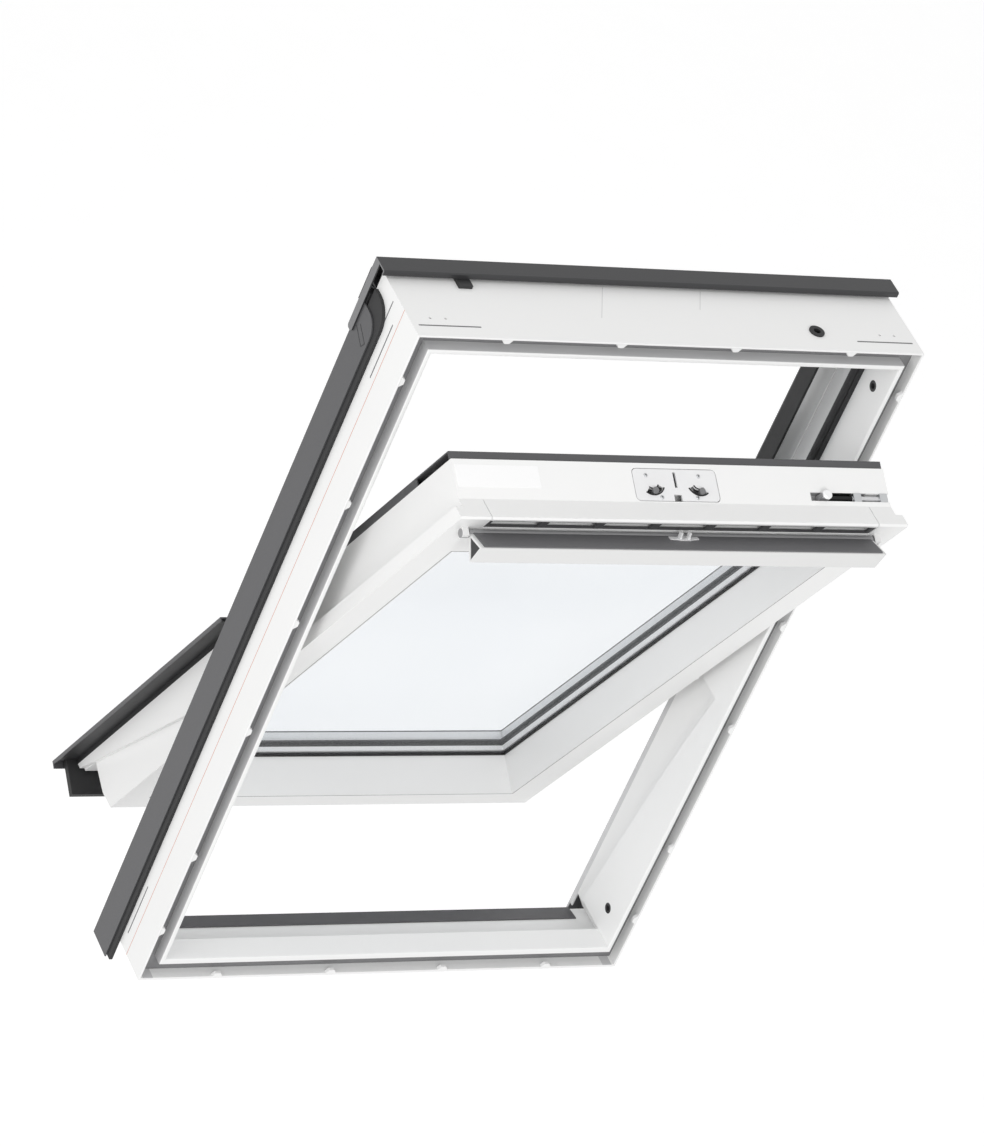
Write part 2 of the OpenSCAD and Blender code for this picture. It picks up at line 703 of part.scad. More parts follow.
module cable_grommet() {
  color(black) at_row() difference() {
    union() {
      post(grommet_x, grommet_y, top_inner_z, half_h + grommet_flange_t, grommet_r);
      post(grommet_x, grommet_y, half_h, half_h + grommet_flange_t, grommet_flange_r);
    }
    post(grommet_x, grommet_y, top_inner_z - overrun, half_h + grommet_flange_t + overrun, grommet_bore_r);
  }
}

module inner_gasket() {
  low_z = inner_gasket_low;
  high_z = half_h - inner_gasket_end;
  block([inner_x - inner_gasket_w, inner_gasket_y, low_z], [inner_x, inner_gasket_y + inner_gasket_d, high_z]);
  post(inner_x - inner_gasket_w, inner_gasket_y + inner_gasket_d / 2, low_z, high_z, bulb_r);
}

module left_inner_gasket() color(black) at_row() to_left() inner_gasket();

module right_inner_gasket() color(black) at_row() inner_gasket();

module sill_cover() {
  side_x = inner_x - sill_cover_gap;
  out_y = sill_depth + sheet_t;
  color(grey_metal) at_row() along_x(-side_x, side_x) polygon([
    [sill_cover_y, sill_z(sill_cover_y)], [sill_depth, sill_z(sill_depth)], [sill_depth, -half_h - sill_apron],
    [out_y, -half_h - sill_apron], [out_y, sill_z(out_y) + sheet_t], [sill_cover_y, sill_z(sill_cover_y) + sheet_t]]);
}

module side_gasket() {
  foot_z = -half_h - side_cover_drop + overrun;
  out_y = side_gasket_y + side_gasket_d;
  along_x(half_w, side_cover_x) polygon(rounded([
    [side_gasket_y, foot_z], [out_y, foot_z], [out_y, side_gasket_top], [side_gasket_y, side_gasket_top]],
    [0, 0, 0, side_gasket_r]));
}

module left_side_gasket() color(black) at_row() to_left() side_gasket();

module right_side_gasket() color(black) at_row() side_gasket();

module side_cover() {
  foot_z = -half_h - side_cover_drop;
  along_x(side_cover_x, side_cover_x + sheet_t) polygon(rounded([
    [side_cover_y, foot_z], [side_sheet_y, foot_z], [side_sheet_y, side_tongue_top],
    [side_cover_y, side_tongue_top]], [0, 0, 0, tongue_r]));
  block([side_sheet_x, side_sheet_y - sheet_t, foot_z], [side_cover_x + sheet_t, side_sheet_y, side_sheet_top]);
  block([side_sheet_x, frame_depth, -half_h], [side_sheet_x + sheet_t, side_sheet_y - sheet_t / 2, side_sheet_top]);
}

module left_side_cover() color(grey_metal) at_row() to_left() side_cover();

module right_side_cover() color(grey_metal) at_row() side_cover();

module raised_cover() {
  foot_x = side_cover_x - sheet_t;
  crown_x = raised_x + crown_w;
  along_z(raised_start, side_sheet_top) polygon([
    [side_cover_x, side_sheet_y], [side_cover_x, side_sheet_y + raised_foot_h], [crown_x, raised_y],
    [raised_x, raised_y], [raised_x, raised_y - sheet_t], [crown_x, raised_y - sheet_t],
    [foot_x, side_sheet_y + raised_foot_h - sheet_t / 2], [foot_x, side_sheet_y]]);
}

module left_raised_cover() color(grey_metal) at_row() to_left() raised_cover();

module right_raised_cover() color(grey_metal) at_row() raised_cover();

// Coved strip between the raised cover, the side cover's inner edge and the hanging gasket
module upper_lining() {
  out_x = side_sheet_x - lining_play;
  leg_x = out_x - lining_t;
  end_x = raised_x + hang_gasket_t + lining_play;
  foot_y = frame_depth + lining_play;
  under_y = raised_y - sheet_t;
  crown_x = raised_x + crown_w;
  foot_x = side_cover_x - sheet_t;
  seat_y = side_sheet_y + raised_foot_h - sheet_t / 2;
  out_y = under_y - (under_y - seat_y) * (out_x - crown_x) / (foot_x - crown_x);
  cove = [for (i = [0 : step_count]) bezier(cove_shares, i / step_count)];
  along_z(raised_start, side_sheet_top) polygon(concat(
    [[leg_x, foot_y], [out_x, foot_y], [out_x, out_y], [crown_x, under_y], [end_x, under_y]],
    [for (c = cove) [end_x + c[0] * (leg_x - end_x), foot_y + c[1] * (under_y - lining_t - foot_y)]]));
}

module left_upper_lining() color(white) at_row() to_left() upper_lining();

module right_upper_lining() color(white) at_row() upper_lining();

module outer_gasket() {
  block([raised_x, raised_y - sheet_t - hang_gasket_d, raised_start],
    [raised_x + hang_gasket_t, raised_y - sheet_t, side_sheet_top]);
}

module left_outer_gasket() color(black) at_row() to_left() outer_gasket();

module right_outer_gasket() color(black) at_row() outer_gasket();

module top_casing() {
  out_x = casing_x + sheet_t;
  turn_z = casing_z - casing_fall;
  color(grey_metal) at_row() union() {
    along_x(-out_x, out_x) polygon(rounded([
      [casing_y, casing_z], [casing_y, casing_z - casing_lip_h], [casing_y + sheet_t, casing_z - casing_lip_h],
      [casing_y + sheet_t, casing_z - sheet_t], [casing_turn_y, casing_z - sheet_t], [casing_turn_y, casing_z]],
      [sheet_t, 0, 0, 0, 0, 0]));
    along_x(-half_w, half_w) polygon([
      [casing_turn_y - sheet_t, casing_z], [casing_turn_y - sheet_t, casing_z - sheet_t],
      [raised_y - sheet_t, turn_z], [raised_y - sheet_t, casing_edge_z], [raised_y, casing_edge_z],
      [raised_y, turn_z], [casing_turn_y, casing_z]]);
    block([-half_w, frame_depth, top_inner_z], [half_w, raised_y - sheet_t / 2, top_inner_z + sheet_t]);
    for (side = [-out_x, casing_x])
      along_x(side, side + sheet_t) polygon(rounded([
        [return_y, casing_z - return_len], [casing_turn_y, casing_z - return_len], [casing_turn_y, casing_z],
        [return_y, casing_z]], [return_r, return_r, 0, 0]));
  }
}

module top_outer_gasket() {
  color(black) at_row() block([-upper_x, raised_y - sheet_t - hang_gasket_d, casing_edge_z],
    [upper_x, raised_y - sheet_t, casing_edge_z + hang_gasket_t]);
}

module casing_clip() {
  color(black) at_row() block([-clip_x - clip_w / 2, casing_y - clip_show, half_h],
    [-clip_x + clip_w / 2, casing_y - clip_show + clip_d, casing_z - casing_lip_h]);
}

module bolt_channel() {
  block([channel_x, bolt_y - channel_half_w, sash_top_z - channel_d],
    [sash_half_w + overrun, bolt_y + channel_half_w, crest_z + overrun]);
}

// Plate with round corners, wider all round by a gap
module lock_plate(gap, z0, z1) {
  half_l = lock_half_w + gap;
  r = lock_corner_r + gap;
  along_z(z0, z1) polygon(rounded([
    [-half_l, lock_y - gap], [half_l, lock_y - gap], [half_l, lock_y + lock_d + gap],
    [-half_l, lock_y + lock_d + gap]], [r, r, r, r]));
}

module sash_top_rail() {
  color(white) sash_pose() difference() {
    along_x(-clear_x, clear_x) polygon([
      [sash_room_y, clear_top_z], [glass_stop_y, clear_top_z], [glass_stop_y, pane_top_z + pane_play],
      [sash_body_y, pane_top_z + pane_play], [sash_body_y, sash_top_z], [crest_y, sash_top_z],
      [vent_back_y, sash_top_z - strip_seat_drop], [vent_back_y, vent_z], [sash_room_y, vent_z]]);
    lock_plate(lock_gap, lock_floor_z, sash_top_z + overrun);
    bolt_channel();
  }
}

module sash_bottom_rail() {
  color(white) sash_pose() along_x(-clear_x, clear_x) polygon([
    [sash_room_y, clear_foot_z], [sash_room_y, sash_foot_z], [foot_mid_y, sash_foot_z - foot_mid_fall],
    [foot_out_y, sash_foot_z - foot_out_fall], [sash_body_y, sash_foot_z - foot_out_fall],
    [sash_body_y, pane_foot_z - pane_play], [glass_stop_y, pane_foot_z - pane_play],
    [glass_stop_y, clear_foot_z]]);
}

module sash_stile() {
  slant_y = sash_room_y + crest_ridge_d;
  difference() {
    union() {
      along_x(clear_x, sash_half_w) polygon([
        [sash_room_y, sash_foot_z], [foot_mid_y, sash_foot_z - foot_mid_fall],
        [foot_out_y, sash_foot_z - foot_out_fall], [horn_y, sash_foot_z - foot_out_fall],
        [horn_y, horn_z + overrun], [sash_body_y, horn_z], [sash_body_y, sash_top_z], [crest_y, sash_top_z],
        [slant_y, crest_z], [sash_room_y, crest_z - crest_front_drop]]);
      along_x(sash_half_w - overrun, panel_x) polygon([
        [slant_y, -pivot_clear_h], [panel_low_y, horn_z + overrun], [sash_body_y, horn_z],
        [sash_body_y, -pivot_clear_h]]);
    }
    block([clear_x - overrun, glass_stop_y, pane_foot_z - pane_play],
      [rebate_x, sash_body_y + overrun, pane_top_z + pane_play]);
    block([upper_x, sash_room_y + flange_d, pivot_clear_h],
      [sash_half_w + overrun, sash_body_y + overrun, crest_z + overrun]);
  }
}

module sash_left_stile() color(white) sash_pose() to_left() sash_stile();

module sash_right_stile() {
  color(white) sash_pose() difference() {
    sash_stile();
    bolt_channel();
  }
}

module hinge_plate() {
  eye_x = inner_x - pivot_plate_t - eye_play;
  difference() {
    union() {
      block([sash_half_w, hinge_plate_y, -hinge_plate_h], [sash_half_w + hinge_plate_t, sash_body_y, hinge_plate_h]);
      rod_x(sash_half_w, eye_x, pivot_y, 0, eye_r);
    }
    rod_x(sash_half_w - overrun, eye_x + overrun, pivot_y, 0, pivot_pin_r + pin_play);
  }
}

module left_hinge_plate() color(steel) sash_pose() to_left() hinge_plate();

module right_hinge_plate() color(steel) sash_pose() hinge_plate();

// Flat ring between two distances from the clear opening, outward positive
module glass_ring(y0, y1, outer, inner) {
  along_y(y0, y1) difference() {
    translate([-clear_x - outer, clear_foot_z - outer])
      square([2 * (clear_x + outer), clear_top_z - clear_foot_z + 2 * outer]);
    translate([-clear_x - inner, clear_foot_z - inner])
      square([2 * (clear_x + inner), clear_top_z - clear_foot_z + 2 * inner]);
  }
}

module inner_glazing_gasket() {
  color(black) sash_pose() union() {
    glass_ring(glass_stop_y, inner_pane_y, pane_bite, -bead_w);
    glass_ring(glass_stop_y - bead_d, inner_pane_y, 0, -bead_w);
  }
}

module pane(y) block([-pane_x, y, pane_foot_z], [pane_x, y + pane_t, pane_top_z]);

module inner_pane() color(clear_glass) sash_pose() pane(inner_pane_y);

module outer_pane() color(clear_glass) sash_pose() pane(outer_pane_y);

module pane_spacer() color(dark) sash_pose() glass_ring(inner_pane_y + pane_t, outer_pane_y, pane_bite, -spacer_show);

module outer_glazing_gasket() color(black) sash_pose() glass_ring(bed_y, bed_y + outer_bed, pane_bite, -outer_bed_show);

module carrier() {
  along_z(cover_foot_z + skirt_set + skirt_t + sheet_t, -overhang_start - overrun) polygon([
    [sash_half_w, sash_body_y], [sash_half_w, cover_in_y], [overhang_x - sheet_t - cover_gap, cover_in_y],
    [overhang_x - sheet_t - cover_gap, cover_in_y - carrier_t], [panel_x, cover_in_y - carrier_t],
    [panel_x, sash_body_y]]);
}

module left_carrier() color(black) sash_pose() to_left() carrier();

module right_carrier() color(black) sash_pose() carrier();

module sash_side_cover() {
  low_z = cover_low_z + cover_gap;
  high_z = cover_high_z - cover_gap;
  in_x = cover_in_x;
  block([in_x, cover_in_y, low_z], [upper_x, cover_y, high_z]);
  block([in_x, bed_y + outer_bed, low_z], [in_x + sheet_t, cover_in_y + sheet_t / 2, high_z]);
  block([upper_x - sheet_t, sash_body_y, low_z], [upper_x, cover_in_y + sheet_t / 2, high_z]);
  block([upper_x - sheet_t / 2, cover_in_y, low_z], [overhang_x, cover_y, -overhang_start]);
  block([overhang_x - sheet_t, cover_in_y - rim_d, low_z], [overhang_x, cover_in_y + sheet_t / 2, -overhang_start]);
}

module sash_left_cover() color(grey_metal) sash_pose() to_left() sash_side_cover();

module sash_right_cover() color(grey_metal) sash_pose() sash_side_cover();

module sash_top_cover() {
  low_z = cover_high_z;
  high_z = sash_top_z - top_cover_set;
  color(grey_metal) sash_pose() union() {
    block([-upper_x, cover_in_y, low_z], [upper_x, cover_y, high_z]);
    block([-upper_x, sash_body_y, high_z - sheet_t], [upper_x, cover_in_y + sheet_t / 2, high_z]);
    block([-cover_in_x, bed_y + outer_bed, low_z], [cover_in_x, cover_in_y + sheet_t / 2, low_z + sheet_t]);
  }
}

module sash_bottom_cover() {
  high_z = cover_low_z;
  color(grey_metal) sash_pose() union() {
    block([-overhang_x, cover_in_y, cover_foot_z], [overhang_x, cover_y, high_z]);
    block([-overhang_x, sash_body_y, cover_foot_z], [overhang_x, cover_in_y + sheet_t / 2, cover_foot_z + sheet_t]);
    block([-cover_in_x, bed_y + outer_bed, high_z - sheet_t], [cover_in_x, cover_in_y + sheet_t / 2, high_z]);
    for (side = [-overhang_x, overhang_x - sheet_t])
      block([side, cover_in_y - rim_d, cover_foot_z], [side + sheet_t, cover_in_y + sheet_t / 2, high_z]);
  }
}

module bottom_skirt() {
  half_l = overhang_x - skirt_inset;
  color(black) sash_pose() block([-half_l, cover_in_y - skirt_d, cover_foot_z + skirt_set],
    [half_l, cover_in_y, cover_foot_z + skirt_set + skirt_t]);
}

module vent_grille() {
  half_l = clear_x - vent_end_gap;
  pitch = 2 * half_l / grille_slots;
  face_y = sash_room_y + grille_set;
  color(dark) sash_pose() difference() {
    block([-half_l, face_y, vent_z], [half_l, face_y + grille_t, vent_z + grille_h]);
    for (i = [0 : grille_slots - 1])
      block([i * pitch - half_l + grille_bar_w / 2, face_y - overrun, vent_z + grille_slot_low],
        [(i + 1) * pitch - half_l - grille_bar_w / 2, face_y + grille_t + overrun,
          vent_z + grille_slot_low + grille_slot_h]);
  }
}

module vent_filter() {
  half_l = clear_x - vent_end_gap;
  color(grey_metal) sash_pose() block([-half_l, filter_y, vent_z], [half_l, filter_y + filter_d, vent_z + filter_h]);
}

module vent_strip() {
  half_l = clear_x - vent_end_gap;
  under_z = vent_z + grille_h;
  color(white) sash_pose() along_x(-half_l, half_l) polygon([
    [crest_y, sash_top_z], [sash_room_y + crest_ridge_d, crest_z], [sash_room_y, crest_z - crest_front_drop],
    [sash_room_y, under_z], [sash_room_y + grille_set + grille_t, under_z],
    [vent_back_y, sash_top_z - strip_seat_drop]]);
}

module flap_bracket(bar_end_x) {
  near_x = bar_end_x + flap_bracket_gap;
  block([near_x, sash_room_y - flap_bracket_d, flap_z - flap_bracket_h / 2],
    [near_x + flap_bracket_w, sash_room_y, flap_z + flap_bracket_h / 2]);
  rod_x(near_x - flap_pin_l, near_x + flap_bracket_w / 2, flap_y, flap_z, flap_pin_r);
}

module left_flap_bracket() color(white) sash_pose() to_left() flap_bracket(-bar_left_x);

module right_flap_bracket() color(white) sash_pose() flap_bracket(bar_right_x);

module claw_slot(z0, z1) {
  arc = [for (i = [0 : step_count]) (claw_slot_back + claw_slot_fore) * i / step_count - 90 - claw_slot_back];
  along_z(z0, z1) polygon(concat(
    [for (i = [0 : step_count]) (claw_r + claw_slot_w / 2) * [cos(arc[i]), sin(arc[i])]],
    [for (i = [step_count : -1 : 0]) (claw_r - claw_slot_w / 2) * [cos(arc[i]), sin(arc[i])]]));
}

module lock_case() {
  post_x = lock_half_w - post_set;
  color(grey_metal) sash_pose() union() {
    difference() {
      lock_plate(0, lock_under_z, lock_top_z);
      for (side = [0, 1])
        mirror([side, 0, 0]) translate([claw_x, claw_y, 0]) claw_slot(lock_under_z - overrun, lock_top_z + overrun);
      block([-mid_slot_half_w, mid_slot_y, lock_under_z - overrun],
        [mid_slot_half_w, mid_slot_y + mid_slot_l, lock_top_z + overrun]);
      block([-notch_half_w, lock_y - overrun, lock_under_z - overrun],
        [notch_half_w, lock_y + notch_d, lock_top_z + overrun]);
    }
    for (side = [-1, 1]) {
      post(side * post_x, lock_y + post_set, lock_floor_z, lock_under_z + lock_plate_t / 2, post_r);
      post(side * post_x, lock_y + lock_d - post_set, lock_floor_z, lock_under_z + lock_plate_t / 2, post_r);
      post(side * claw_x, claw_y, lock_floor_z, lock_under_z + lock_plate_t / 2, claw_pin_r);
    }
  }
}

module bolt_guides() {
  outer_x = upper_x - guide_set;
  color(steel) sash_pose() for (x = [outer_x - guide_pitch, outer_x]) difference() {
    block([x - guide_l, bolt_y - channel_half_w, sash_top_z - channel_d],
      [x, bolt_y + channel_half_w, sash_top_z + guide_h]);
    rod_x(x - guide_l - overrun, x + overrun, bolt_y, bolt_z, bolt_r + pin_play);
  }
}

// Points of the control bar about its axis: face foot, face top, grip edge
bar_points = [[bar_face_d, bar_face_d], [bar_face_d, bar_h], [-bar_reach, bar_grip_h]];
bar_middle = (bar_points[0] + bar_points[1] + bar_points[2]) / 3;

module control_bar() {
  color(white) flap_pose() difference() {
    union() {
      along_x(bar_left_x, bar_right_x)
        polygon([for (p = rounded(bar_points, [0, 0, bar_grip_r])) [flap_y, flap_z] + p]);
      rod_x(bar_left_x, bar_right_x, flap_y, flap_z, knuckle_r);
    }
    along_x(bar_left_x - overrun, bar_right_x + overrun)
      polygon([for (p = bar_points) [flap_y, flap_z] + bar_middle + bar_core_share * (p - bar_middle)]);
    rod_x(bar_left_x - overrun, bar_right_x + overrun, flap_y, flap_z, flap_pin_r + pin_play);
  }
}

module bar_liner() {
  color(dark) flap_pose() block([bar_left_x + liner_edge, flap_y + bar_face_d, flap_z + knuckle_r],
    [bar_right_x - liner_edge, flap_y + bar_face_d + liner_t, flap_z + bar_h - liner_edge / 2]);
}

module lock_link() {
  foot_y = flap_y + bar_face_d + liner_t;
  low_z = flap_z + link_low;
  prong_z = low_z + (link_foot_h - link_prong_h) / 2;
  color(steel) flap_pose() union() {
    block([-link_half_w, foot_y, low_z], [link_half_w, foot_y + link_foot_t, low_z + link_foot_h]);
    for (x = [-link_half_w, link_half_w - link_prong_w])
      block([x, foot_y, prong_z], [x + link_prong_w, foot_y + link_reach, prong_z + link_prong_h]);
  }
}

module claw() {
  hub_z = lock_floor_z + claw_hub_z;
  head_z = lock_top_z + finger_h;
  translate([claw_x, claw_y, 0]) difference() {
    union() {
      post(0, 0, hub_z, hub_z + claw_hub_t, claw_hub_r);
      block([-finger_r, -claw_r, hub_z], [finger_r, 0, hub_z + claw_hub_t]);
      post(0, -claw_r, hub_z, head_z, finger_r);
      post(0, -claw_r, head_z - claw_head_t, head_z, claw_head_r);
    }
    post(0, 0, hub_z - overrun, hub_z + claw_hub_t + overrun, claw_pin_r + pin_play);
  }
}

module left_claw() color(steel) sash_pose() to_left() claw();

module right_claw() color(steel) sash_pose() claw();

module barrel_bolt() {
  tail_x = bolt_tip_x - bolt_l;
  color(steel) sash_pose() union() {
    rod_x(tail_x, bolt_tip_x, bolt_y, bolt_z, bolt_r);
    block([tail_x, bolt_y - lug_half_w, bolt_z], [tail_x + lug_l, bolt_y + lug_half_w, sash_top_z + lug_h]);
  }
}

frame_top_rail();
frame_sill();
frame_left_stile();
frame_right_stile();
left_pivot_plate();
right_pivot_plate();
bolt_bushes();
lock_striker();
cable_grommet();
left_inner_gasket();
right_inner_gasket();
sill_cover();
left_side_gasket();
right_side_gasket();
left_side_cover();
right_side_cover();
left_raised_cover();
right_raised_cover();
left_upper_lining();
right_upper_lining();
left_outer_gasket();
right_outer_gasket();
top_casing();
top_outer_gasket();
casing_clip();
sash_top_rail();
sash_bottom_rail();
sash_left_stile();
sash_right_stile();
left_hinge_plate();
right_hinge_plate();
inner_glazing_gasket();
inner_pane();
pane_spacer();
outer_pane();
outer_glazing_gasket();
left_carrier();
right_carrier();
sash_left_cover();
sash_right_cover();
sash_top_cover();
sash_bottom_cover();
bottom_skirt();
vent_grille();
vent_filter();
vent_strip();
left_flap_bracket();
right_flap_bracket();
lock_case();
bolt_guides();
control_bar();
bar_liner();
lock_link();
left_claw();
right_claw();
barrel_bolt();
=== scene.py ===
"""Looks of a centre-pivot roof window: materials, small fittings and a white studio."""

import math

import bpy
import numpy as np
from mathutils import Matrix, Vector


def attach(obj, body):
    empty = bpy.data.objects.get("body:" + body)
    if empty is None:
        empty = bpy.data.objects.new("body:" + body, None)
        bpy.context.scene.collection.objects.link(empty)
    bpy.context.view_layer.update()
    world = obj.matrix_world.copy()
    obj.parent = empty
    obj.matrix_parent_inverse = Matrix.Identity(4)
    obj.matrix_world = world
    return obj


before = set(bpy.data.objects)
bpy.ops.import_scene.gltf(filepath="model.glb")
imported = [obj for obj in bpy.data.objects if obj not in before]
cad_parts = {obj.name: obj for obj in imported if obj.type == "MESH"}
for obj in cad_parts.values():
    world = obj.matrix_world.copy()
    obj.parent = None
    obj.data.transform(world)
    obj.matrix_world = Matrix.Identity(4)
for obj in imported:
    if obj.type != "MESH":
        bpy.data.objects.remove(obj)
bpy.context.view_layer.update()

# Moulded shell of frame and sash: white polyurethane over a timber core, satin, with the faint
# orange peel of a lacquered mould. The members are glued at their mitres, so no screws show.
# The frame carries a thin red depth mark on its sides; its lining groove is painted grey as shade, and the
# groove's floor darker grey as deeper shade.
MARK_LINE = (-0.0211, -0.0199)  # lowest and highest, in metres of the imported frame, as the next ones are
OUTER_SIDE_X = 0.3897
STILE_GROOVE, STILE_FLOOR = (0.3678, 0.3832), (0.3678, 0.3872)
TOP_GROOVE, TOP_FLOOR = (1.1558, 1.1712), (1.1558, 1.1752)
SILL_GROOVE, SILL_FLOOR = (0.0089, 0.0321), (0.0042, 0.032)
GROOVE_DEEPEST_Y, FLOOR_SKIN = -0.0524, (-0.053, -0.0518)
BETWEEN_GROOVES = (0.0041, 1.1753)
# The grey for the groove walls and the darker grey for its floor are painted shade; the red is the depth
# mark.
PAINTED_GROOVE_SHADE, PAINTED_FLOOR_SHADE, MARK_RED = (0.58, 0.58, 0.585), (0.22, 0.22, 0.225), (0.62, 0.27, 0.2)
DRIFT_SCALE, NOISE_DETAIL, RELIEF_DEPTH, ROUGHNESS_SPREAD = 9.0, 3.0, 0.0004, 0.15


def link_or_set(tree, socket, value):
    """Links an output to a socket, or sets a plain value on it."""
    if isinstance(value, bpy.types.NodeSocket):
        tree.links.new(value, socket)
    else:
        socket.default_value = value


def maths(tree, operation, *values):
    """One Math node: the operation on the given outputs and numbers."""
    node = tree.nodes.new("ShaderNodeMath")
    node.operation = operation
    for socket, value in zip(node.inputs, values):
        link_or_set(tree, socket, value)
    return node.outputs["Value"]


def within(tree, value, low, high):
    """1 where a value lies between low and high, else 0."""
    return maths(tree, "COMPARE", value, (low + high) / 2, (high - low) / 2)


def blend_colour(tree, share, first, second):
    """Mixes two colours by a share from 0 to 1."""
    node = tree.nodes.new("ShaderNodeMix")
    node.data_type = "RGBA"
    link_or_set(tree, node.inputs["Factor"], share)
    for socket, value in ((node.inputs["A"], first), (node.inputs["B"], second)):
        link_or_set(tree, socket, value if isinstance(value, bpy.types.NodeSocket) else (*value, 1))
    return node.outputs["Result"]


def material(name, colour, roughness, metallic=0.0, grain=800.0, bump=0.05, tint=0.04, stretch=(1, 1, 1)):
    """Principled material: noise in Object space drifts its colour by tint and raises it by bump."""
    mat = bpy.data.materials.new(name)
    mat.use_nodes = True
    tree = mat.node_tree
    shader = tree.nodes["Principled BSDF"]
    shader.inputs["Metallic"].default_value = metallic
    coords = tree.nodes.new("ShaderNodeTexCoord")
    scale = tree.nodes.new("ShaderNodeMapping")
    scale.inputs["Scale"].default_value = stretch
    tree.links.new(coords.outputs["Object"], scale.inputs["Vector"])
    drift, fine = tree.nodes.new("ShaderNodeTexNoise"), tree.nodes.new("ShaderNodeTexNoise")
    for noise, noise_scale in ((drift, DRIFT_SCALE), (fine, grain)):
        noise.inputs["Scale"].default_value = noise_scale
        noise.inputs["Detail"].default_value = NOISE_DETAIL
        tree.links.new(scale.outputs["Vector"], noise.inputs["Vector"])
    dark = [c * (1 - tint) for c in colour]
    light = [min(1.0, c * (1 + tint)) for c in colour]
    tree.links.new(blend_colour(tree, drift.outputs["Fac"], dark, light), shader.inputs["Base Color"])
    spread = tree.nodes.new("ShaderNodeMapRange")
    spread.inputs["To Min"].default_value = roughness * (1 - ROUGHNESS_SPREAD)
    spread.inputs["To Max"].default_value = min(1.0, roughness * (1 + ROUGHNESS_SPREAD))
    tree.links.new(fine.outputs["Fac"], spread.inputs["Value"])
    tree.links.new(spread.outputs["Result"], shader.inputs["Roughness"])
    relief = tree.nodes.new("ShaderNodeBump")
    relief.inputs["Strength"].default_value = bump
    relief.inputs["Distance"].default_value = RELIEF_DEPTH
    tree.links.new(fine.outputs["Fac"], relief.inputs["Height"])
    tree.links.new(relief.outputs["Normal"], shader.inputs["Normal"])
    return mat


def dress(mat, *names):
    """Gives the CAD nodes of these names one material."""
    for name in names:
        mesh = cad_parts[name].data
        mesh.materials.clear()
        mesh.materials.append(mat)


def repaint(mat, share, colour):
    """Lays a colour over a material's own colour, by a share from 0 to 1."""
    tree = mat.node_tree
    base = tree.nodes["Principled BSDF"].inputs["Base Color"]
    own = base.links[0].from_socket
    tree.links.new(blend_colour(tree, share, own, colour), base)


def own_place(mat):
    """Distance from the middle plane, depth and height of a point, from its Object coordinates."""
    tree = mat.node_tree
    split = tree.nodes.new("ShaderNodeSeparateXYZ")
    tree.links.new(tree.nodes["Texture Coordinate"].outputs["Object"], split.inputs["Vector"])
    return maths(tree, "ABSOLUTE", split.outputs["X"]), split.outputs["Y"], split.outputs["Z"]


def paint_groove_shade_and_depth_mark(mat):
    """Paints shade into the lining grooves, grey on their walls and darker on their floors, and the red
    depth mark on the outer sides.
    """
    tree = mat.node_tree
    across, depth, height = own_place(mat)

    def both(*shares):
        """Product of two shares: a point has to lie in both."""
        return maths(tree, "MULTIPLY", *shares)

    def either(*shares):
        """Larger of two shares: a point may lie in either."""
        return maths(tree, "MAXIMUM", *shares)

    in_stile = both(within(tree, across, *STILE_GROOVE), within(tree, height, *BETWEEN_GROOVES))
    rail_grooves = either(within(tree, height, *TOP_GROOVE), within(tree, height, *SILL_GROOVE))
    in_rail = both(rail_grooves, maths(tree, "LESS_THAN", across, STILE_GROOVE[1]))
    before_floor = maths(tree, "LESS_THAN", depth, GROOVE_DEEPEST_Y)
    # Painted shade: grey on the groove's walls, as the shade inside the groove.
    repaint(mat, both(either(in_stile, in_rail), before_floor), PAINTED_GROOVE_SHADE)
    rail_floors = either(within(tree, height, *TOP_FLOOR), within(tree, height, *SILL_FLOOR))
    over_floor = either(within(tree, across, *STILE_FLOOR), rail_floors)
    inside_rim = both(maths(tree, "LESS_THAN", across, STILE_FLOOR[1]),
                      within(tree, height, *BETWEEN_GROOVES))
    # Painted shade: darker grey on the groove's floor, as the deepest shade.
    repaint(mat, both(both(over_floor, within(tree, depth, *FLOOR_SKIN)), inside_rim), PAINTED_FLOOR_SHADE)
    on_side = maths(tree, "GREATER_THAN", across, OUTER_SIDE_X)
    repaint(mat, both(within(tree, depth, *MARK_LINE), on_side), MARK_RED)


shell_look = dict(colour=(0.85, 0.85, 0.845), roughness=0.42, grain=700, bump=0.05, tint=0.012)
white_shell = material("white_shell", **shell_look)
dress(white_shell, "sash_bottom_rail", "sash_left_stile", "sash_right_stile", "vent_strip",
      "left_upper_lining", "right_upper_lining")
frame_shell = material("frame_shell", **shell_look)
paint_groove_shade_and_depth_mark(frame_shell)
dress(frame_shell, "frame_left_stile", "frame_right_stile", "frame_top_rail", "frame_sill")

# Cover sheets: folded aluminium, grey lacquer outside, clipped over the frame and the sash.
# Rolled sheet shows a slight lengthwise drift under the satin lacquer. The casing's sheet is
# darker with lighter end returns, and the side covers' inner returns are pale.
INNER_RETURN_X, CASING_END_X = 0.3741, 0.3992
cover_look = dict(colour=(0.082, 0.082, 0.086), roughness=0.4, metallic=0.15, grain=900, bump=0.04,
                  tint=0.06, stretch=(1, 1, 0.2))
grey_cover = material("grey_cover", **cover_look)
dress(grey_cover, "left_raised_cover", "right_raised_cover", "sill_cover")
dark_cover = material("dark_cover", **{**cover_look, "colour": (0.034, 0.034, 0.036)})
casing_end = maths(dark_cover.node_tree, "GREATER_THAN", own_place(dark_cover)[0], CASING_END_X)
repaint(dark_cover, casing_end, (0.19, 0.19, 0.195))
dress(dark_cover, "top_casing")
side_cover = material("side_cover", **cover_look)
inner_return = maths(side_cover.node_tree, "LESS_THAN", own_place(side_cover)[0], INNER_RETURN_X)
repaint(side_cover, inner_return, (0.62, 0.62, 0.625))
dress(side_cover, "left_side_cover", "right_side_cover")

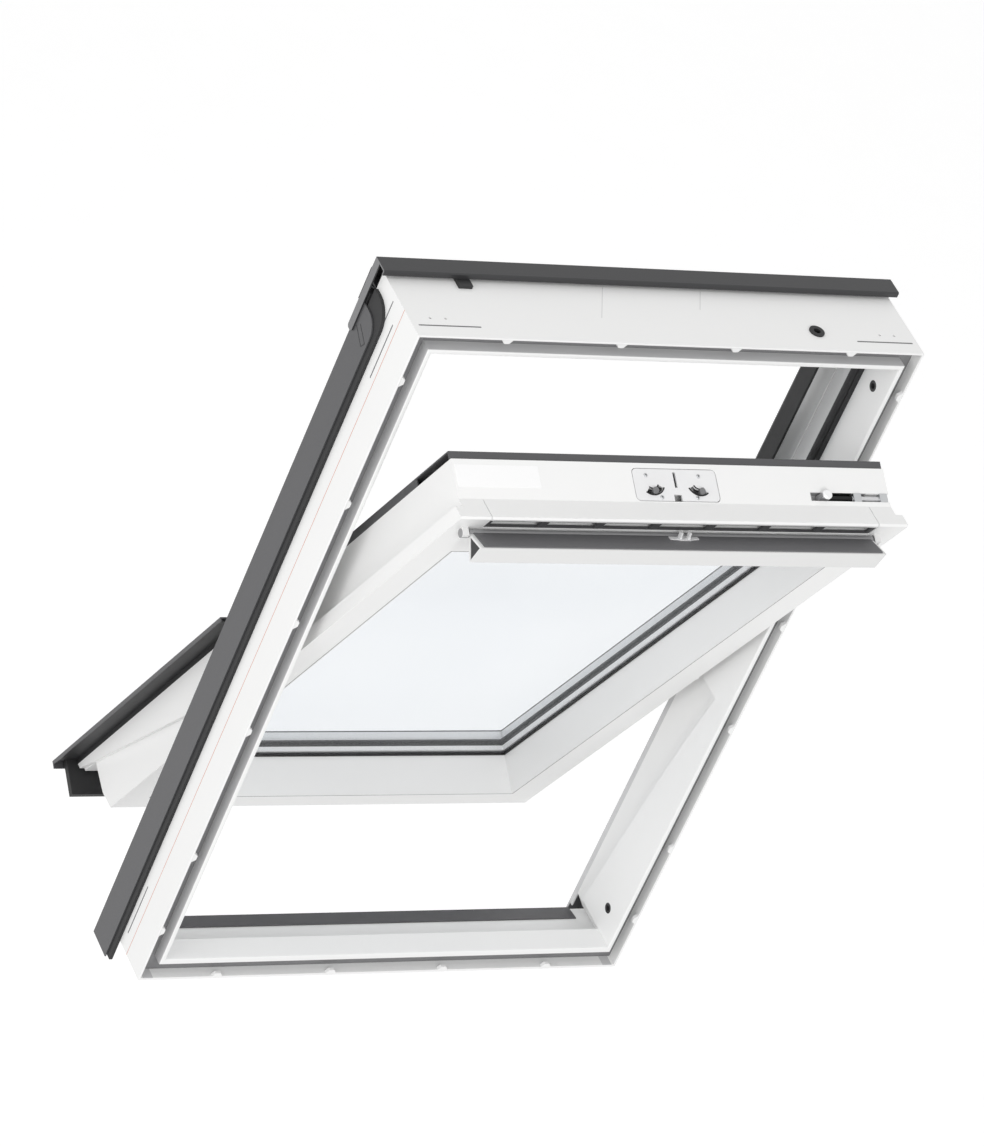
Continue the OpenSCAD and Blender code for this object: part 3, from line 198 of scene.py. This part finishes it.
# Seals: extruded black rubber, pressed into grooves of the members and under the covers.
# Rubber is dull with a fine grain; the carriers, the casing clip and the bolt's bushes are black plastic.
black_rubber = material("black_rubber", (0.014, 0.014, 0.015), 0.62, grain=1600, bump=0.1, tint=0.1)
black_plastic = material("black_plastic", (0.018, 0.018, 0.019), 0.48, grain=1200, bump=0.06, tint=0.08)
dress(black_rubber, "left_inner_gasket", "right_inner_gasket", "left_side_gasket", "right_side_gasket",
      "left_outer_gasket", "right_outer_gasket", "top_outer_gasket", "inner_glazing_gasket",
      "outer_glazing_gasket", "cable_grommet", "bottom_skirt")
dress(black_plastic, "left_carrier", "right_carrier", "casing_clip", "bolt_bushes")

# Glazing: two float-glass panes on a spacer, white on its room side; the rest of the spacer, towards the
# outer pane, is painted black as shade between the panes.
# The panes lie in the sash rebate on black rubber, under covers with pale inner edges.
# Places on the sash are millimetres in the closed window; the sash rests open by its angle.
MM = 0.001
SASH_ANGLE = math.radians(26)
SASH_WIDTH_WAY = (1.0, 0.0, 0.0)
SASH_DEPTH_WAY = (0.0, math.cos(SASH_ANGLE), math.sin(SASH_ANGLE))
SASH_HEIGHT_WAY = (0.0, -math.sin(SASH_ANGLE), math.cos(SASH_ANGLE))
PIVOT_YZ = (119.0, 0.0)
FRAME_MIDDLE = (0.0, -56.5, 589.0)
GLASS_SHINE = 0.05
GLASS_TINTS = (0.958, 0.966, 0.974), (0.988, 0.991, 0.994)


def turn(points, axis_yz, angle):
    """Turns points about a line along X through a depth and a height."""
    y, z = points[:, 1] - axis_yz[0], points[:, 2] - axis_yz[1]
    c, s = math.cos(angle), math.sin(angle)
    return np.column_stack([points[:, 0], axis_yz[0] + y * c - z * s, axis_yz[1] + y * s + z * c])


def frame_place(points):
    """Millimetres from the frame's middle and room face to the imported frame's metres."""
    return (points + FRAME_MIDDLE) * MM


def sash_place(points):
    """Places on the closed sash, carried with it to the open rest place."""
    return frame_place(turn(points, PIVOT_YZ, SASH_ANGLE))


def vector_maths(tree, operation, first, second=(0.0, 0.0, 0.0)):
    """One Vector Math node: the operation on an output and a fixed vector."""
    node = tree.nodes.new("ShaderNodeVectorMath")
    node.operation = operation
    tree.links.new(first, node.inputs[0])
    node.inputs[1].default_value = second
    return node.outputs["Value" if operation in ("DOT_PRODUCT", "LENGTH") else "Vector"]


PIVOT_PLACE = tuple(frame_place(np.array([0.0, *PIVOT_YZ])))


def paint_sash_box(mat, widths, depths, heights, colour):
    """Repaints a sash piece inside a box of the closed window, given in millimetres.

    A point's way from the pivot, measured along the sash's own directions, has to lie in all three spans.
    """
    tree = mat.node_tree
    place = tree.nodes["Texture Coordinate"].outputs["Object"]
    from_pivot = vector_maths(tree, "SUBTRACT", place, PIVOT_PLACE)
    spans = ((SASH_WIDTH_WAY, widths), (SASH_DEPTH_WAY, np.subtract(depths, PIVOT_YZ[0])),
             (SASH_HEIGHT_WAY, heights))
    inside = 1.0
    for way, (low, high) in spans:
        along = vector_maths(tree, "DOT_PRODUCT", from_pivot, way)
        inside = maths(tree, "MULTIPLY", within(tree, along, low * MM, high * MM), inside)
    repaint(mat, inside, colour)


pane_glass = material("pane_glass", (0.9, 0.92, 0.94), 0.04, grain=60, bump=0.0, tint=0.02)
glass_tree = pane_glass.node_tree
glass_cloud = glass_tree.nodes.new("ShaderNodeTexNoise")
glass_cloud.inputs["Scale"].default_value = 2.2
glass_cloud.inputs["Detail"].default_value = 1.0
glass_tree.links.new(glass_tree.nodes["Texture Coordinate"].outputs["Object"], glass_cloud.inputs["Vector"])
glass_clear = glass_tree.nodes.new("ShaderNodeBsdfTransparent")
glass_tint = blend_colour(glass_tree, glass_cloud.outputs["Fac"], *GLASS_TINTS)
glass_tree.links.new(glass_tint, glass_clear.inputs["Color"])
glass_mix = glass_tree.nodes.new("ShaderNodeMixShader")
glass_mix.inputs["Fac"].default_value = GLASS_SHINE
glass_tree.links.new(glass_clear.outputs["BSDF"], glass_mix.inputs[1])
glass_tree.links.new(glass_tree.nodes["Principled BSDF"].outputs["BSDF"], glass_mix.inputs[2])
glass_tree.links.new(glass_mix.outputs["Shader"], glass_tree.nodes["Material Output"].inputs["Surface"])
dress(pane_glass, "inner_pane", "outer_pane")
# The spacer's black is painted shade between the panes; only its room side is painted white.
spacer_painted_shade = material("spacer_painted_shade", (0.02, 0.02, 0.021), 0.5, grain=900, bump=0.04)
paint_sash_box(spacer_painted_shade, (-400, 400), (96, 103), (-600, 600), (0.85, 0.85, 0.85))
dress(spacer_painted_shade, "pane_spacer")
sash_cover = material("sash_cover", **cover_look)
paint_sash_box(sash_cover, (-306, 306), (110, 128), (-522, 428), (0.93, 0.935, 0.94))
dress(sash_cover, "sash_left_cover", "sash_right_cover", "sash_top_cover", "sash_bottom_cover")

# Fittings: zinc-plated steel pressings, screwed to the members; the plating is bright and a
# little cloudy. The lock case is a die casting with a coarser skin; below its plate it is painted
# black as the shade inside the case. The bolt runs in a channel of the sash's top rail, painted grey
# as shade, and black as deep shade beside the lug, where the rod is painted black as well.
BOLT_CHANNEL, BOLT_DARK_SHADE = (205, 345), (238, 275)
CHANNEL_DEPTHS, CHANNEL_HEIGHTS = (68, 83), (500, 516.9)
zinc_steel = material("zinc_steel", (0.55, 0.56, 0.57), 0.3, metallic=0.95, grain=500, bump=0.05, tint=0.1)
dress(zinc_steel, "left_pivot_plate", "right_pivot_plate", "left_hinge_plate", "right_hinge_plate",
      "lock_striker", "bolt_guides")
bright_zinc = material("bright_zinc", (0.86, 0.86, 0.865), 0.35, metallic=0.25, grain=500, bump=0.04,
                       tint=0.05)
dress(bright_zinc, "lock_link")
dull_steel = material("dull_steel", (0.2, 0.2, 0.205), 0.4, metallic=0.6, grain=500, bump=0.06, tint=0.15)
dress(dull_steel, "left_claw", "right_claw")
rod_steel_gap_shade = material("rod_steel_gap_shade", (0.62, 0.62, 0.63), 0.32, metallic=0.7, grain=500, bump=0.05, tint=0.1)
# Painted shade: the rod is black between the lug and the first strap, as the deep shade seen there.
paint_sash_box(rod_steel_gap_shade, BOLT_DARK_SHADE, (60, 90), (500, 516.6), (0.014, 0.014, 0.015))
dress(rod_steel_gap_shade, "barrel_bolt")
rail_shell_channel_shade = material("rail_shell_channel_shade", **shell_look)
# Painted shade: the channel is grey as shade, and black beside the lug as deeper shade.
paint_sash_box(rail_shell_channel_shade, BOLT_CHANNEL, CHANNEL_DEPTHS, CHANNEL_HEIGHTS, (0.35, 0.35, 0.355))
paint_sash_box(rail_shell_channel_shade, BOLT_DARK_SHADE, CHANNEL_DEPTHS, CHANNEL_HEIGHTS, (0.02, 0.02, 0.021))
dress(rail_shell_channel_shade, "sash_top_rail")
lock_zinc = material("lock_zinc", (0.8, 0.8, 0.805), 0.4, metallic=0.2, grain=420, bump=0.1, tint=0.06)
# Painted shade: the case is black below its plate, as the shade inside the case.
paint_sash_box(lock_zinc, (-70, 70), (50, 130), (480, 514.2), (0.012, 0.012, 0.013))
dress(lock_zinc, "lock_case")

# Vent and control bar: a dark plastic grille over a grey foam filter, closed by the hinged bar.
# The bar is a white lacquered extrusion with a dark liner on its inner face and a grey knuckle.
BAR_AXIS_YZ = (22.0, 499.0)
BAR_AXIS_PLACE = tuple(sash_place(np.array([[0.0, *BAR_AXIS_YZ]]))[0])
KNUCKLE_REACH = 0.0062
dark_plastic = material("dark_plastic", (0.07, 0.07, 0.073), 0.55, grain=1100, bump=0.12, tint=0.08)
dress(dark_plastic, "vent_grille")
grey_liner = material("grey_liner", (0.13, 0.13, 0.135), 0.6, grain=1400, bump=0.12, tint=0.06)
dress(grey_liner, "bar_liner")
filter_foam = material("filter_foam", (0.13, 0.13, 0.13), 0.95, grain=2200, bump=0.5, tint=0.15)
dress(filter_foam, "vent_filter")
white_bar = material("white_bar", (0.74, 0.74, 0.735), 0.36, grain=900, bump=0.03, tint=0.01)
bar_tree = white_bar.node_tree
bar_coords = bar_tree.nodes["Texture Coordinate"].outputs["Object"]
from_axis = vector_maths(bar_tree, "SUBTRACT", bar_coords, BAR_AXIS_PLACE)
axis_distance = vector_maths(bar_tree, "LENGTH", vector_maths(bar_tree, "MULTIPLY", from_axis, (0, 1, 1)))
repaint(white_bar, maths(bar_tree, "LESS_THAN", axis_distance, KNUCKLE_REACH), (0.27, 0.27, 0.275))
dress(white_bar, "control_bar", "left_flap_bracket", "right_flap_bracket")

# Clips and slits of the frame: small moulded lugs stand in the lining groove at the room face,
# and short sawn slits on the top and the sides take the fitter's brackets. Both belong to the
# moulding, so the lugs are shell white and the slits are plain shadow lines.
X, Y, Z = np.eye(3)
FRAME_TOP_Z, FRAME_SIDE_X = 589, 390
LUG_OUTLINE = [(-4, -6), (4, -6), (9, 0.5), (-9, 0.5)]
LUG_Y, LUG_LENGTH, LUG_TAPER = -10, 4.8, 1
STILE_LUG_X, TOP_LUG_Z, SILL_LUG_Z = 387, 586, -584.6


def prism(outline, origin, u, v, low, high, inset=0.0):
    """Outline in the plane of u and v, raised from low to high along their normal.

    The top outline is drawn towards its middle, by inset at the corner that lies farthest out.
    """
    outline = np.asarray(outline, float)
    middle = outline.mean(0)
    out = outline - middle
    top = middle + out * (1 - inset / np.linalg.norm(out, axis=1).max())
    normal = np.cross(u, v)
    points = np.vstack([origin + ring @ np.array([u, v]) + height * normal
                        for ring, height in ((outline, low), (top, high))])
    foot = np.arange(len(outline))
    after, head = np.roll(foot, -1), foot + len(foot)
    sides = np.column_stack([foot, after, after + len(foot), head])
    return points, [*sides.tolist(), foot[::-1].tolist(), head.tolist()]


def add_piece(name, solids, mat, body, place):
    """One object of several solids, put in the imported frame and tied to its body."""
    points, faces = [], []
    for solid_points, solid_faces in solids:
        start = sum(map(len, points))
        points.append(solid_points)
        faces += [np.add(face, start).tolist() for face in solid_faces]
    mesh = bpy.data.meshes.new(name)
    mesh.from_pydata(place(np.vstack(points)).tolist(), [], faces)
    mesh.materials.append(mat)
    obj = bpy.data.objects.new(name, mesh)
    bpy.context.scene.collection.objects.link(obj)
    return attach(obj, body)


def strip(a, b, width):
    """Thin rectangle round the line from a to b."""
    a, b = np.asarray(a, float), np.asarray(b, float)
    side = np.array([a[1] - b[1], b[0] - a[0]]) / np.linalg.norm(b - a) * width / 2
    return [a - side, b - side, b + side, a + side]


def lug_at(place, u, v):
    """One lug at a place, its width along u and its foot towards v."""
    return prism(LUG_OUTLINE, np.array(place), u, v, 0.0, LUG_LENGTH, LUG_TAPER)


lugs = []
for along in (511, 300, 88, -110, -348, -492):
    lugs += [lug_at((STILE_LUG_X, LUG_Y, along), -Z, X), lug_at((-STILE_LUG_X, LUG_Y, along), Z, -X)]
for along in (-257, -85, 92, 274):
    lugs.append(lug_at((along, LUG_Y, TOP_LUG_Z), X, Z))
for along in (-267, -85, 98, 271):
    lugs.append(lug_at((along, LUG_Y, SILL_LUG_Z), -X, -Z))
add_piece("groove_lugs", lugs, white_shell, "frame", frame_place)

TOP_SLIT_Y = 7
TOP_SLIT_WIDTH, SIDE_SLIT_WIDTH, SLIT_SPAN = 2.2, 2.0, (-0.5, 0.15)
slit_shade = material("slit_shade", (0.16, 0.16, 0.165), 0.8, grain=900, bump=0.05)
slits = [prism(strip((x0, TOP_SLIT_Y), (x1, TOP_SLIT_Y), TOP_SLIT_WIDTH), FRAME_TOP_Z * Z, X, Y, *SLIT_SPAN)
         for x0, x1 in ((-381, -289), (292, 381))]
for y, z0, z1 in ((67, 544, 578), (47, 466, 555), (53, -563, -471)):
    slits += [prism(strip((y, z0), (y, z1), SIDE_SLIT_WIDTH), FRAME_SIDE_X * X, Y, Z, *SLIT_SPAN),
              prism(strip((z0, y), (z1, y), SIDE_SLIT_WIDTH), -FRAME_SIDE_X * X, Z, Y, *SLIT_SPAN)]
add_piece("frame_slits", slits, slit_shade, "frame", frame_place)

# Two faint grey lines are painted across the frame's top face as lines of shade.
SHADE_LINE_WIDTH, SHADE_LINE_SPAN = 0.8, (-0.5, 0.12)
top_line_shade = material("top_line_shade", (0.6, 0.6, 0.6), 0.6, grain=900, bump=0.03)
shade_lines = [prism(strip(a, b, SHADE_LINE_WIDTH), FRAME_TOP_Z * Z, X, Y, *SHADE_LINE_SPAN)
         for a, b in (((-95, 36), (-66, 100)), ((68, 61), (86, 100)))]
add_piece("top_shade_lines", shade_lines, top_line_shade, "frame", frame_place)

# Cover tabs: near its top each side cover has a sheet tab, cut free on three sides, that snaps
# behind the casing. Only the cut shows: a black strip is painted round the tab as the shade in the cut.
SIDE_COVER_X, CUT_WIDTH = 397, 1.6
tab_cuts = []
for a, b in (((112, 500), (84, 487)), ((84, 487), (79, 496)), ((79, 496), (105, 508))):
    tab_cuts += [prism(strip(a, b, CUT_WIDTH), SIDE_COVER_X * X, Y, Z, *SLIT_SPAN),
                 prism(strip(a[::-1], b[::-1], CUT_WIDTH), -SIDE_COVER_X * X, Z, Y, *SLIT_SPAN)]
add_piece("cover_tab_cuts", tab_cuts, black_plastic, "frame", frame_place)

# Casing ends: a block of black foam, cut from sheet, is stuck between the frame's back and each
# end of the casing, and closes the gap there.
FOAM_SPAN = (522, 552)
foam_outline = np.array([(381, 113.2), (396, 113.2), (396, 124), (381, 124)])
casing_foam = [prism(foam_outline, 0 * X, X, Y, *FOAM_SPAN),
               prism(foam_outline[::-1] * (-1, 1), 0 * X, X, Y, *FOAM_SPAN)]
add_piece("casing_foam", casing_foam, black_rubber, "frame", frame_place)

# Sash end face: a blank plate of white film is stuck on at the left, and the lock plate is held by
# four small dome screws of zinc-plated steel with a cross slot.
SASH_TOP_Z, LOCK_TOP_Z = 517.3, 517.0
FILM_THICKNESS = 0.3
SCREW_PLACES = [(-44, 101), (37, 101), (-25, 70), (30, 70)]
SCREW_RADIUS, DOME_RADIUS, SCREW_STEP, SCREW_HIGH = 3.0, 2.6, 0.7, 1.2
RIM_TAPER, DOME_TAPER = 0.4, 0.9
SLOT_HALF, SLOT_WIDTH, SLOT_LOW, SLOT_HIGH = 1.5, 0.7, 1.0, 1.25


def circle(radius, count=20):
    """Regular ring of points: the cosine and sine of equal steps, times the radius."""
    angles = np.arange(count) * 2 * math.pi / count
    return radius * np.column_stack([np.cos(angles), np.sin(angles)])


film = material("film", (0.9, 0.9, 0.9), 0.3, grain=500, bump=0.02, tint=0.01)
film_outline = [(-330, 79), (-206, 79), (-206, 110), (-330, 110)]
blank_plate = prism(film_outline, SASH_TOP_Z * Z, X, Y, 0.0, FILM_THICKNESS, FILM_THICKNESS)
add_piece("blank_plate", [blank_plate], film, "sash", sash_place)
# Painted shade: each screw's cross slot is a dark strip on the dome, as the shade in the slot.
slot_cross_shade = material("slot_cross_shade", (0.02, 0.02, 0.021), 0.7, grain=600, bump=0.05)
heads, crosses = [], []
for x, y in SCREW_PLACES:
    at = np.array([x, y, LOCK_TOP_Z])
    heads += [prism(circle(SCREW_RADIUS), at, X, Y, 0.0, SCREW_STEP, RIM_TAPER),
              prism(circle(DOME_RADIUS), at, X, Y, SCREW_STEP, SCREW_HIGH, DOME_TAPER)]
    for way in ((SLOT_HALF, 0), (0, SLOT_HALF)):
        crosses.append(prism(strip(-np.array(way), way, SLOT_WIDTH), at, X, Y, SLOT_LOW, SLOT_HIGH))
add_piece("lock_screws", heads, zinc_steel, "sash", sash_place)
add_piece("lock_screw_slots", crosses, slot_cross_shade, "sash", sash_place)

# Edge seal of the panes: a white strip lies between the inner pane and the spacer all round, and
# shows through the glass as a thin bright line beside the black bead.
CLEAR_HALF, CLEAR_FOOT, CLEAR_TOP = 298.0, -514.0, 420.0


def ring_strips(inner, outer, y0, y1):
    """Four bars round the clear opening, from inner to outer outside its edge and from depth y0 to y1."""
    solids = []
    for z, way in ((CLEAR_FOOT, -1), (CLEAR_TOP, 1)):
        z0, z1 = sorted((z + way * inner, z + way * outer))
        x = CLEAR_HALF + outer
        solids.append(prism([(z0, -x), (z1, -x), (z1, x), (z0, x)], 0 * X, Z, X, y0, y1))
    foot, top = CLEAR_FOOT - inner, CLEAR_TOP + inner
    for way in (-1, 1):
        x0, x1 = sorted((way * (CLEAR_HALF + inner), way * (CLEAR_HALF + outer)))
        solids.append(prism([(foot, x0), (top, x0), (top, x1), (foot, x1)], 0 * X, Z, X, y0, y1))
    return solids


seal_white = material("seal_white", (0.88, 0.88, 0.88), 0.5, grain=700, bump=0.02, tint=0.01)
add_piece("edge_seal", ring_strips(inner=-2.4, outer=10, y0=95.7, y1=96.2), seal_white, "sash", sash_place)

# Shadow line of the sash: a fine grey line is painted on the room face along the edge of the
# opening, as the shadow along that edge.
line_shade = material("line_shade", (0.3, 0.3, 0.305), 0.7, grain=900, bump=0.03)
edge_shadow_line = ring_strips(inner=1.4, outer=2.8, y0=28.25, y1=28.45)
add_piece("sash_edge_shadow_line", edge_shadow_line, line_shade, "sash", sash_place)

# Barrel bolt: a round pull knob, turned from zinc and slightly domed, is riveted on the lug at the
# tail of the rod.
KNOB_RADIUS, KNOB_POINTS, KNOB_STEP, KNOB_HIGH, KNOB_DOME = 7, 28, 1.8, 3.0, 1.6
knob_at = np.array([229, 75.3, 525.3])
knob = [prism(circle(KNOB_RADIUS, KNOB_POINTS), knob_at, X, Y, 0.0, KNOB_STEP),
        prism(circle(KNOB_RADIUS, KNOB_POINTS), knob_at, X, Y, KNOB_STEP, KNOB_HIGH, KNOB_DOME)]
add_piece("bolt_knob", knob, bright_zinc, "barrel_bolt", sash_place)

# Slot shade of the lock: thin black strips are painted along both edges of each claw's slot, as
# the shade in the slot. They lie on the lock plate.
SLOT_SHADE_THICKNESS = 0.25
SLOT_SHADE_BANDS = ((8.6, 10.4), (17.6, 19.6))
CLAW_SLOTS = (((-36, 92), -129, -25), ((36, 92), -155, -51))


def ring_sector(middle, inner, outer, start, stop, count=16):
    """Flat band round a middle point: an arc at the outer radius, then back at the inner radius."""
    angles = np.radians(np.linspace(start, stop, count))
    way = np.column_stack([np.cos(angles), np.sin(angles)])
    return np.array(middle) + np.vstack([outer * way, inner * way[::-1]])


slot_shade_strips = [prism(ring_sector(middle, *radii, start, stop), LOCK_TOP_Z * Z, X, Y, 0.0, SLOT_SHADE_THICKNESS)
             for middle, start, stop in CLAW_SLOTS for radii in SLOT_SHADE_BANDS]
add_piece("slot_shade_strips", slot_shade_strips, black_rubber, "sash", sash_place)

# Link on the bar: the yoke that works the claws stands on a pressed zinc foot, wider than the yoke,
# which is riveted to the bar's liner.
BAR_ANGLE = math.radians(52)
FOOT_SPAN = (-27.3, -26.0)


def bar_place(points):
    """Places on the closed control bar, carried with it to the open rest place."""
    return sash_place(turn(points, BAR_AXIS_YZ, BAR_ANGLE))


link_foot = [prism([(8.2, 508), (22, 508), (22, 514), (8.2, 516)], 0 * X, X, Z, *FOOT_SPAN),
             prism([(-22, 508), (-8.2, 508), (-8.2, 516), (-22, 514)], 0 * X, X, Z, *FOOT_SPAN)]
add_piece("link_foot", link_foot, bright_zinc, "control_bar", bar_place)

# Ends of the control bar: the extrusion is hollow, and a black plug closes each end a little
# inside the cut.
PLUG_FIT, PLUG_SPANS = 0.985, ((-316.8, -308), (292, 301.8))
bar_core = np.array([[-1.27, 7.79], [-1.27, 36.59], [-26.47, 23.63]]) + BAR_AXIS_YZ
plug = bar_core.mean(0) + PLUG_FIT * (bar_core - bar_core.mean(0))
plugs = [prism(plug, 0 * X, Y, Z, *span) for span in PLUG_SPANS]
add_piece("bar_plugs", plugs, black_plastic, "control_bar", bar_place)

# White studio: a pale floor well below the window, one soft light in front and above, a broad one
# at the left, and a plain white surround. Floor and surround look white to the camera, and in metal
# and glass, without lighting the window any more.
FLOOR_HALF, FLOOR_Z, FLOOR_LIFT = 30, -2.2, 0.25
SKY_STRENGTH, SEEN_STRENGTH = 0.78, 1.0
WINDOW_CENTRE = (0, 0.1, 0.6)


def seen_rays(tree):
    """1 for rays that the camera sees directly, in a reflection or through glass, else 0."""
    rays = tree.nodes.new("ShaderNodeLightPath")
    seen = maths(tree, "MAXIMUM", rays.outputs["Is Camera Ray"], rays.outputs["Is Glossy Ray"])
    return maths(tree, "MAXIMUM", seen, rays.outputs["Is Transmission Ray"])


floor_mesh = bpy.data.meshes.new("floor")
floor_corners = np.array([(-1, -1, 0), (1, -1, 0), (1, 1, 0), (-1, 1, 0)]) * FLOOR_HALF + (0, 0, FLOOR_Z)
floor_mesh.from_pydata(floor_corners.tolist(), [], [(0, 1, 2, 3)])
floor = bpy.data.objects.new("floor", floor_mesh)
bpy.context.scene.collection.objects.link(floor)
floor_paint = material("floor_paint", (0.9, 0.9, 0.9), 0.9, grain=40, bump=0.02, tint=0.01)
floor_tree = floor_paint.node_tree
floor_shader = floor_tree.nodes["Principled BSDF"]
floor_shader.inputs["Emission Color"].default_value = (1, 1, 1, 1)
floor_lift = maths(floor_tree, "MULTIPLY", seen_rays(floor_tree), FLOOR_LIFT)
floor_tree.links.new(floor_lift, floor_shader.inputs["Emission Strength"])
floor_mesh.materials.append(floor_paint)


def area_light(name, place, target, size, power):
    """Square soft light at a place, turned to a target."""
    light = bpy.data.lights.new(name, "AREA")
    light.size = size
    light.energy = power
    holder = bpy.data.objects.new(name, light)
    holder.location = place
    holder.rotation_euler = (Vector(target) - Vector(place)).to_track_quat("-Z", "Y").to_euler()
    bpy.context.scene.collection.objects.link(holder)


area_light("key", place=(-1.3, -5.0, 3.6), target=WINDOW_CENTRE, size=1.5, power=85)
area_light("side", place=(-5.0, -1.6, 2.4), target=WINDOW_CENTRE, size=3.0, power=79)

world = bpy.data.worlds.new("studio")
bpy.context.scene.world = world
world.use_nodes = True
world_tree = world.node_tree
sky = world_tree.nodes["Background"]
seen_white = world_tree.nodes.new("ShaderNodeBackground")
for background, strength in ((sky, SKY_STRENGTH), (seen_white, SEEN_STRENGTH)):
    background.inputs["Color"].default_value = (1, 1, 1, 1)
    background.inputs["Strength"].default_value = strength
choose = world_tree.nodes.new("ShaderNodeMixShader")
world_tree.links.new(seen_rays(world_tree), choose.inputs["Fac"])
world_tree.links.new(sky.outputs["Background"], choose.inputs[1])
world_tree.links.new(seen_white.outputs["Background"], choose.inputs[2])
world_tree.links.new(choose.outputs["Shader"], world_tree.nodes["World Output"].inputs["Surface"])

# Camera: the photograph's own view, from the room side, high and to the left, through a long
# lens. Its optical middle lies a little under the picture's middle.
CAMERA_PLACE = Vector((-3.8219, -4.86526, 5.05644))
CAMERA_UP = Vector((-0.006696, 0.675828, 0.737029))
CAMERA_AHEAD = Vector((0.49882, 0.641054, -0.583291))
PICTURE_HIGH_PX, LENS_PX, MIDDLE_OFFSET_PX = 1146, 5523.5, 43.5
camera = bpy.data.objects.new("camera", bpy.data.cameras.new("camera"))
camera.data.sensor_width = 36
camera.data.lens = LENS_PX * camera.data.sensor_width / PICTURE_HIGH_PX
camera.data.shift_y = MIDDLE_OFFSET_PX / PICTURE_HIGH_PX
camera.data.clip_end = 100
camera_turn = Matrix((CAMERA_AHEAD.cross(CAMERA_UP), CAMERA_UP, -CAMERA_AHEAD)).transposed()
camera.matrix_world = Matrix.Translation(CAMERA_PLACE) @ camera_turn.to_4x4()
bpy.context.scene.collection.objects.link(camera)
bpy.context.scene.camera = camera
bpy.context.scene.view_settings.view_transform = "Standard"
